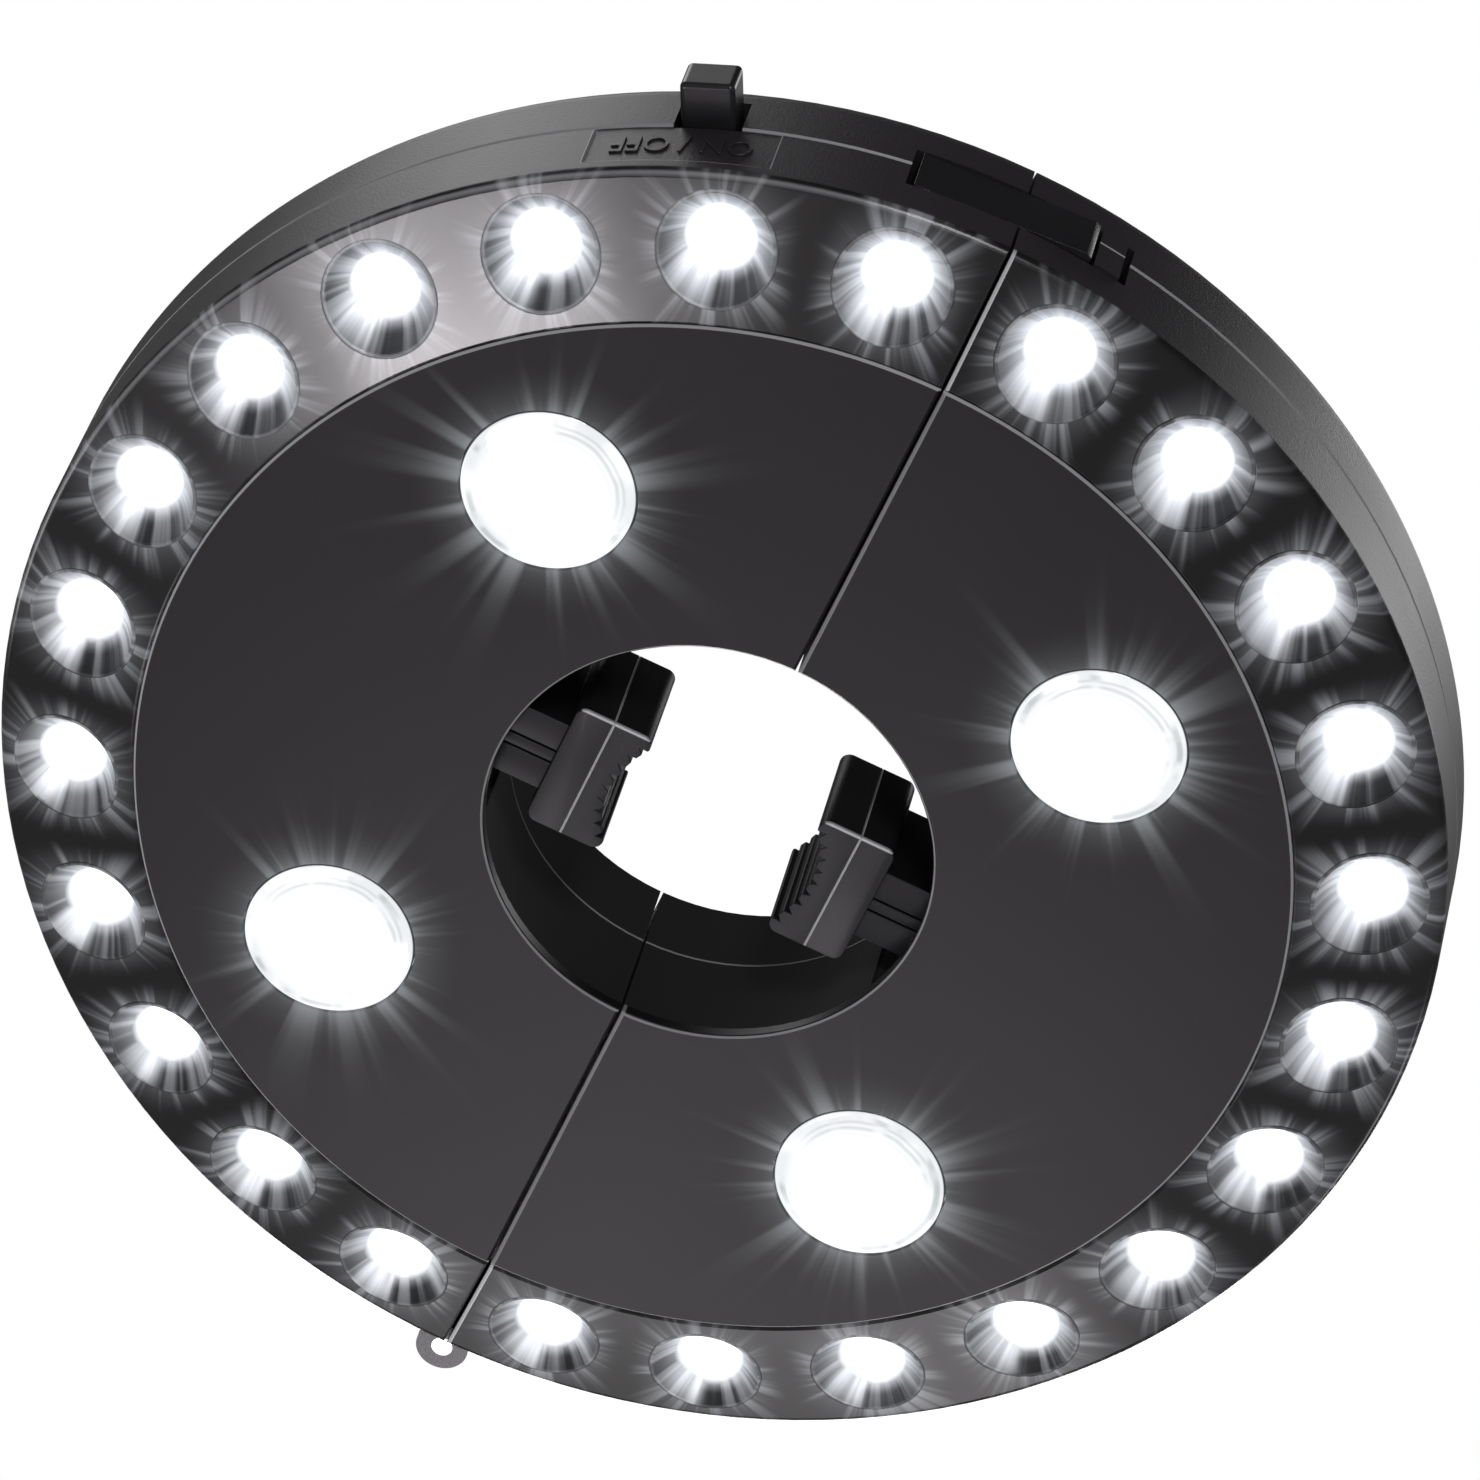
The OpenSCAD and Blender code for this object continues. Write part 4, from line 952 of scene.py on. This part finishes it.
# %% Finish of the lenses
def build_lens_finish():
    """White lit middle, with grey-green arcs near the rim where the light bends."""
    material, tree, shader, place = new_material("lit_lens", shade("3c4244"), 0.08)
    rays = use_group(tree, LAMP_RAYS, place, Circle_Radius=SPOT_R, Step_Angle=SPOT_STEP,
                     Core_Radius=6 * MM, Reach=6 * MM, Rays=1.5, Seed=5.1)
    distance, streak = rays.outputs["Distance"], rays.outputs["Streak"]
    wobble = put(tree, "ShaderNodeTexNoise", {"Vector": place, "Scale": 150.0, "Detail": 2.0}).outputs["Fac"]
    shifted = total(tree, distance, product(tree, wobble, 0.9 * MM))
    outer = product(tree, ramp01(tree, shifted, 10.6 * MM, 11.2 * MM),
                    ramp01(tree, shifted, 11.9 * MM, 11.5 * MM), ramp01(tree, streak, 0.25, 0.75))
    fine_rings = scaled(tree, calc(tree, "SINE", product(tree, shifted, 6500.0)), 0.5, 0.5)
    inner = product(tree, ramp01(tree, shifted, 8.4 * MM, 10.2 * MM),
                    ramp01(tree, shifted, 11.2 * MM, 10.6 * MM), fine_rings,
                    ramp01(tree, streak, 0.75, 0.25), towards(tree, rays, 95, -0.2, 0.7))
    veil = product(tree, ramp01(tree, shifted, 9.0 * MM, 11.4 * MM), ramp01(tree, wobble, 0.62, 0.40))
    arcs = total(tree, product(tree, outer, 0.36), product(tree, inner, 0.34))
    dark = calc(tree, "ADD", arcs, product(tree, veil, 0.2), clamp=True)
    clear = mixed(tree, dark, shade("fdfdff"), shade("6f7d7b"))
    outline = ramp01(tree, distance, 11.78 * MM, 11.90 * MM)
    shining(tree, shader, mixed(tree, outline, clear, shade("1c1e1f")), 0.96)
    return material


LENS = build_lens_finish()
print("finish:", LENS.name)


# %% Turned lens
def lens_profile(steps=28, first_ridge=20):
    """A dome with fine ring steps near its rim, and the flange behind the plate."""
    edge, ridge_height = LENS_R - 0.5 * MM, 0.10 * MM
    flange_r, flange_low, flange_high = 13.4 * MM, 2.0 * MM, 3.0 * MM
    sphere = (LENS_R ** 2 + LENS_CROWN ** 2) / (2 * LENS_CROWN)
    points = []
    for i in range(steps + 1):
        x = edge * i / steps
        sag = LENS_CROWN - (sphere - math.sqrt(sphere ** 2 - x ** 2))
        ridge = ridge_height if i >= first_ridge and i % 2 else 0
        points.append((x, ridge - sag))
    return points + [(LENS_R - 0.25 * MM, 0.02 * MM), (LENS_R, 0.3 * MM), (LENS_R, flange_low),
                     (flange_r, flange_low), (flange_r, flange_high), (0, flange_high)]


LENS_SOURCE = lathe("lens_source", lens_profile(), 64)
for half in HALVES:
    lenses = grow("face_lenses_" + half, ARC_TREE, {
        "Count": SPOT_COUNT, "First Angle": FIRST_LARGE[half], "Step Angle": SPOT_STEP, "Radius": SPOT_R,
        "Height": FACE_Z, "Piece": LENS_SOURCE, "Finish": LENS})
    finish_piece(lenses, "half_" + half, "lens", LENS, "spot_lenses_" + half)
bpy.data.objects.remove(LENS_SOURCE)

# %% [markdown]
# ## Edges of the moving pieces
# No moulded edge is perfectly sharp: it has a small radius that catches the light as a thin line. The
# solids keep sharp corners where a fit needs them, so a copy of each visible piece is merged, and a
# Bevel modifier rounds its edges.


# %% Rounded copies
def merged_copy(name, node):
    """A copy of a solid's mesh with its doubles merged and its flat faces joined, shaded smooth."""
    mesh = frame["nodes"][node].data.copy()
    mesh.name = name
    bm = bmesh.new()
    bm.from_mesh(mesh)
    bmesh.ops.remove_doubles(bm, verts=bm.verts, dist=1e-6)
    bmesh.ops.dissolve_limit(bm, angle_limit=math.radians(0.8), verts=bm.verts, edges=bm.edges)
    for face in bm.faces:
        face.smooth = True
    bm.to_mesh(mesh)
    bm.free()
    mesh.normals_split_custom_set([(0, 0, 0)] * len(mesh.loops))
    return mesh


def rounded_copy(name, node, width):
    """A copy of a solid with its edges rounded to a width, wherever they turn by 30 degrees or more."""
    piece = as_object(name, merged_copy(name, node))
    bevel = piece.modifiers.new("edges", "BEVEL")
    bevel.width = width
    bevel.segments = 3
    bevel.limit_method = "ANGLE"
    bevel.angle_limit = math.radians(30)
    bevel.use_clamp_overlap = True
    bevel.harden_normals = True
    done = settled_mesh(piece)
    piece.modifiers.remove(bevel)
    piece.data = done
    return piece


ROUNDED = [("jaw_carrier", "carrier", CARRIER, "jaw_", 0.35 * MM),
           ("jaw_pad", "pad", PAD, "jaw_", 0.22 * MM),
           ("battery_door", "door", DOOR, "door_", 0.3 * MM)]
for stem, slot, material, body, width in ROUNDED:
    for half in HALVES:
        node = f"{stem}_{half}"
        piece = rounded_copy(node + "_moulded", node, width)
        finish_piece(piece, body + half, slot, material, node)
lever = rounded_copy("latch_lever_moulded", "latch_lever", 0.4 * MM)
finish_piece(lever, "latch", "gloss_black", GLOSS_BLACK, "latch_lever")

# %% [markdown]
# ## Words on the panel
# A sunk panel under the button carries the two plain switch words. They could be a texture, but raised
# letters catch light on their sides, so a text object is turned into a mesh and bent round the wall.


# %% Raised words
def raised_words(text, width, height, relief, bearing, middle_z, radius):
    """Letters bent round the wall, with their tops towards the lit face and their feet sunk in it."""
    curve = bpy.data.curves.new("words", "FONT")
    curve.body, curve.align_x, curve.align_y = text, "CENTER", "CENTER"
    curve.extrude, curve.resolution_u = 0.5, 3
    source = as_object("words_source", curve)
    mesh = settled_mesh(source)
    bpy.data.objects.remove(source)
    spans = [(min(v.co[k] for v in mesh.vertices), max(v.co[k] for v in mesh.vertices)) for k in range(3)]
    for v in mesh.vertices:
        across, up, out = ((v.co[k] - spans[k][0]) / (spans[k][1] - spans[k][0]) for k in range(3))
        turn = bearing - (across - 0.5) * width / radius
        r = radius + (out - 0.2) * relief
        v.co = (r * math.cos(turn), r * math.sin(turn), middle_z - (up - 0.5) * height)
    mesh.name = "panel_words"
    bm = bmesh.new()
    bm.from_mesh(mesh)
    bmesh.ops.remove_doubles(bm, verts=bm.verts, dist=1e-7)
    bmesh.ops.recalc_face_normals(bm, faces=bm.faces)
    bm.to_mesh(mesh)
    bm.free()
    return as_object("panel_words", mesh)


words = raised_words("ON / OFF", width=18.8 * MM, height=4.2 * MM, relief=0.35 * MM,
                     bearing=PANEL_BEARING, middle_z=z_at(12.85), radius=99.65 * MM)
finish_piece(words, "half_a", "shell", SHELL)

# %% [markdown]
# ## Springs
# A spring's wire follows a helix. The Spiral primitive of Geometry Nodes is that curve, straight or
# tapered, and Curve to Mesh gives it its wire, so one tree makes the jaw springs and the cone springs of
# the battery bays.


# %% Geometry Nodes: wound wire
def build_coil_tree():
    """Tree: wire wound round a helix or a cone, then turned and put in place."""
    tree, entry, leave = new_group(
        "Wound wire",
        [("Turns", "NodeSocketFloat", 8.0), ("Start Radius", "NodeSocketFloat", 2 * MM),
         ("End Radius", "NodeSocketFloat", 2 * MM), ("Length", "NodeSocketFloat", 10 * MM),
         ("Wire Radius", "NodeSocketFloat", 0.3 * MM), ("Turn", "NodeSocketRotation", None),
         ("Place", "NodeSocketVector", None), ("Finish", "NodeSocketMaterial", None)],
        [("Geometry", "NodeSocketGeometry")], "GeometryNodeTree")
    size = entry.outputs
    helix = put(tree, "GeometryNodeCurveSpiral", {
        "Resolution": 20, "Rotations": size["Turns"], "Start Radius": size["Start Radius"],
        "End Radius": size["End Radius"], "Height": size["Length"]})
    wire = put(tree, "GeometryNodeCurvePrimitiveCircle", {"Resolution": 8, "Radius": size["Wire Radius"]})
    tube = put(tree, "GeometryNodeCurveToMesh", {
        "Curve": helix.outputs[0], "Profile Curve": wire.outputs[0], "Fill Caps": True})
    placed = put(tree, "GeometryNodeTransform", {
        "Geometry": tube.outputs[0], "Translation": size["Place"], "Rotation": size["Turn"]})
    end_tree(tree, placed.outputs[0], size["Finish"], leave)
    return tree


def wound(name, turns, start_r, end_r, length, wire_r, turn, place):
    """One spring as a plain mesh."""
    made = grow(name, COIL_TREE, {
        "Turns": turns, "Start Radius": start_r, "End Radius": end_r, "Length": length,
        "Wire Radius": wire_r, "Turn": turn, "Place": place, "Finish": SPRING_WIRE})
    for face in made.data.polygons:
        face.use_smooth = True
    return made


COIL_TREE = build_coil_tree()
print("tree:", COIL_TREE.name)

# %% [markdown]
# A jaw's spring sits in its channel, between the wall and the arm that slides towards it. It stays with
# its half of the housing.

# %% Jaw springs
JAW_COIL_R, JAW_WIRE_R, JAW_END_GAP = 2.45 * MM, 0.34 * MM, 0.35 * MM
for half, side in (("a", 1), ("b", -1)):
    low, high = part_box("jaw_spring_" + half)
    middle = (low + high) / 2
    start_x = low.x if side > 0 else high.x
    spring = wound("jaw_coil_" + half, turns=9.0, start_r=JAW_COIL_R, end_r=JAW_COIL_R,
                   length=high.x - low.x - 2 * JAW_END_GAP, wire_r=JAW_WIRE_R,
                   turn=(0, side * math.pi / 2, 0),
                   place=(start_x + side * JAW_END_GAP, middle.y, middle.z))
    finish_piece(spring, "half_" + half, "spring_steel", SPRING_WIRE, "jaw_spring_" + half)
    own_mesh(spring)

# %% [markdown]
# The latch spring is wound round the lever's pin. One leg rests on the wall of the recess and the other
# behind the lever, so the coil twists as the lever is pressed. Here it is a rounded copy of its solid,
# attached to no body, so it doesn't move.

# %% Latch spring
low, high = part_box("latch_spring")
twisted = rounded_copy("latch_coil", "latch_spring", 0.12 * MM)
finish_piece(twisted, None, "spring_steel", SPRING_WIRE, "latch_spring")
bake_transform(twisted)

# %% [markdown]
# Each cell is held by a cone spring at its flat end. A cone packs flatter than a straight coil, because
# its turns lie inside each other. The two cells of a bay point opposite ways, and so do their cones.

# %% Cone springs behind the cells
BAY_X, CELL_PITCH, CELL_Z = 53.2 * MM, 14.9 * MM, z_at(19.6)
CONE_FOOT_Y, CONE_LENGTH = 27.35 * MM, 4.4 * MM
for half, side in (("a", 1), ("b", -1)):
    cones = []
    for k, way in ((0, 1), (1, -1)):
        x = side * (BAY_X + k * CELL_PITCH)
        cones.append(wound(f"cone_{half}_{k}", turns=4.0, start_r=3.6 * MM, end_r=2.0 * MM,
                           length=CONE_LENGTH, wire_r=0.35 * MM, turn=(-way * math.pi / 2, 0, 0),
                           place=(x, -way * CONE_FOOT_Y, CELL_Z)))
    bm = bmesh.new()
    for cone in cones:
        bm.from_mesh(cone.data)
        bpy.data.objects.remove(cone)
    pair = as_object("contact_cones_" + half, mesh_from(bm, "contact_cones_" + half))
    finish_piece(pair, "half_" + half, "spring_steel", SPRING_WIRE, "contact_springs_" + half)

# %% [markdown]
# ## Finishes of the solids that stay
# The other solids already have their real shape. Each gets the finish of its record slot.

# %% Assign finishes
FINISH_OF_SLOT = {
    "shell": SHELL, "face": FACE, "reflector": CUP, "diode": DIODE, "board": BOARD, "lens": LENS,
    "pad": PAD, "carrier": CARRIER, "spring_steel": SPRING_WIRE, "door": DOOR, "cell": CELL,
    "contact": NICKEL, "screw": ZINC, "pin": GROUND_PIN, "gloss_black": GLOSS_BLACK, "switch": SWITCH,
    "plunger": PLUNGER}
for entry in frame["record"]["subparts"]:
    solid = frame["nodes"][entry["node"]]
    solid.data.materials.clear()
    solid.data.materials.append(FINISH_OF_SLOT[entry["material_slot"]])

# %% [markdown]
# ## Studio
# The lamp is seen from below and in front, with its own axis leaning to the upper right. The camera
# looks up through a narrow lens. A floor right under the lamp would hide it from there, so the floor
# shows its upper side only, and lets everything else pass.

# %% Camera
# The directions of the picture's right side, of its foot and of the view, and the camera's place
CAMERA_RIGHT = (-0.90515608, 0.38624581, 0.17750111)
CAMERA_DOWN = (-0.419801, -0.74665104, -0.51602262)
CAMERA_AHEAD = (-0.06678019, -0.54159616, 0.8379821)
CAMERA_PLACE = (0.07538, 0.60829, -0.92542)
SENSOR_MM, FOCAL_MM = 36.0, 197.5


def place_camera():
    """The photograph's camera."""
    data = bpy.data.cameras.new("photo_camera")
    data.sensor_width, data.lens = SENSOR_MM, FOCAL_MM
    data.clip_start, data.clip_end = 0.01, 20.0
    camera = as_object("photo_camera", data)
    turned = Matrix((CAMERA_RIGHT, [-v for v in CAMERA_DOWN], [-v for v in CAMERA_AHEAD]))
    camera.matrix_world = Matrix.Translation(CAMERA_PLACE) @ turned.transposed().to_4x4()
    bpy.context.scene.camera = camera
    return camera


print("camera at", [round(v, 3) for v in place_camera().location])


# %% Floor
def build_floor():
    """A pale floor that is seen from above only, just under the crowns of the lenses."""
    bm = bmesh.new()
    bmesh.ops.create_grid(bm, x_segments=1, y_segments=1, size=4.0)
    floor = as_object("floor", mesh_from(bm, "floor"))
    floor.location.z = FACE_Z - LENS_CROWN - 0.1 * MM
    material = bpy.data.materials.new("pale_floor")
    material.use_nodes = True
    tree = material.node_tree
    shader = tree.nodes["Principled BSDF"]
    shader.inputs["Base Color"].default_value = (0.9, 0.9, 0.9, 1)
    shader.inputs["Roughness"].default_value = 0.9
    clear = tree.nodes.new("ShaderNodeBsdfTransparent")
    camera_ray = tree.nodes.new("ShaderNodeLightPath").outputs["Is Camera Ray"]
    behind = tree.nodes.new("ShaderNodeNewGeometry").outputs["Backfacing"]
    seen = product(tree, camera_ray, inverse(tree, behind))
    blend = put(tree, "ShaderNodeMixShader", {0: seen, 1: clear.outputs[0], 2: shader.outputs[0]})
    tree.links.new(blend.outputs[0], tree.nodes["Material Output"].inputs["Surface"])
    floor.data.materials.append(material)
    floor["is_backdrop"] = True
    return floor


print("floor at", round(build_floor().location.z, 4))

# %% [markdown]
# The photograph has even light, soft highlights on band and wall, and dark places where the gloss
# mirrors nothing. One bright world would wash the black plastic out. So the world gives a low even light
# and shows glossy faces a dark studio, and nine soft boxes make the highlights.

# %% World
FLAG_WAY = Vector((-0.07, 0.54, 0.84)).normalized()


def build_world(level, below, above):
    """Even light of a level, plain white where it is seen or looked at through glass. What mirrors the
    studio sees the value below or above, and a black flag hangs over the latch."""
    world = bpy.data.worlds.new("studio")
    bpy.context.scene.world = world
    world.use_nodes = True
    tree = world.node_tree
    tree.nodes.clear()
    path = tree.nodes.new("ShaderNodeLightPath")
    camera_ray, glossy_ray = path.outputs["Is Camera Ray"], path.outputs["Is Glossy Ray"]
    way = tree.nodes.new("ShaderNodeTexCoord").outputs["Generated"]
    up = put(tree, "ShaderNodeSeparateXYZ", {"Vector": way}).outputs["Z"]
    flag = put(tree, "ShaderNodeVectorMath", {0: way, 1: FLAG_WAY}, operation="DOT_PRODUCT")
    in_flag = ramp01(tree, flag.outputs["Value"], 0.76, 0.95)
    outside = inverse(tree, product(tree, in_flag, 0.9))
    mirrored = product(tree, outside, scaled(tree, ramp01(tree, up, -0.75, -0.1), above - below, below))
    plain = greatest(tree, camera_ray, path.outputs["Is Transmission Ray"])
    seen = greatest(tree, plain, product(tree, glossy_ray, mirrored))
    unseen = inverse(tree, greatest(tree, plain, glossy_ray))
    strength = total(tree, seen, product(tree, unseen, level))
    light = put(tree, "ShaderNodeBackground", {"Color": (1, 1, 1, 1), "Strength": strength})
    put(tree, "ShaderNodeOutputWorld", {"Surface": light.outputs[0]})
    return world


print("world:", build_world(level=0.45, below=0.25, above=0.15).name)


# %% Lamps
def soft_box(name, direction, distance, size, power):
    """A square area lamp that looks at the object and isn't seen itself."""
    data = bpy.data.lights.new(name, "AREA")
    data.shape, data.size, data.energy = "SQUARE", size, power
    lamp = as_object(name, data)
    way = Vector(direction).normalized()
    lamp.location = way * distance
    lamp.rotation_mode = "QUATERNION"
    lamp.rotation_quaternion = way.to_track_quat("Z", "Y")
    lamp.visible_camera = False
    return lamp


# Name, direction, distance and side in metres, power in watts
STUDIO_LAMPS = [
    ("band_box", (0.27, -0.232, -0.935), 1.1, 0.32, 7.6),
    ("low_box", (-0.22, -0.76, -0.62), 0.7, 0.4, 1.4),
    ("low_fill", (-0.13, -0.66, -0.74), 0.66, 0.24, 1.3),
    ("wall_box_left", (0.50, 0.16, 0.84), 1.1, 0.5, 2.4),
    ("wall_box_right", (-0.545, 0.06, 0.84), 1.1, 0.44, 1.9),
    ("latch_strip", (0.06, 0.83, -0.53), 1.0, 0.24, 3.0),
    ("left_strip", (0.84, -0.54, -0.25), 1.0, 0.3, 1.0),
    ("right_strip", (-0.84, -0.50, -0.25), 1.0, 0.3, 0.8),
    ("back_box", (-0.2, -0.75, 0.63), 1.1, 0.6, 6.0)]
for lamp_values in STUDIO_LAMPS:
    soft_box(*lamp_values)
print("lamps:", len(STUDIO_LAMPS))

# %% [markdown]
# ## Picture and sizes
# The Standard view shows a colour as it is written. The box of the finished lamp is then written.

# %% Picture settings
bpy.context.scene.view_settings.view_transform = "Standard"
print("colours are shown by:", bpy.context.scene.view_settings.view_transform)

# %% Size of the finished lamp
low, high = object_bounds()
print("visual box:", [round(v * 1000, 1) for v in (*low, *high)])
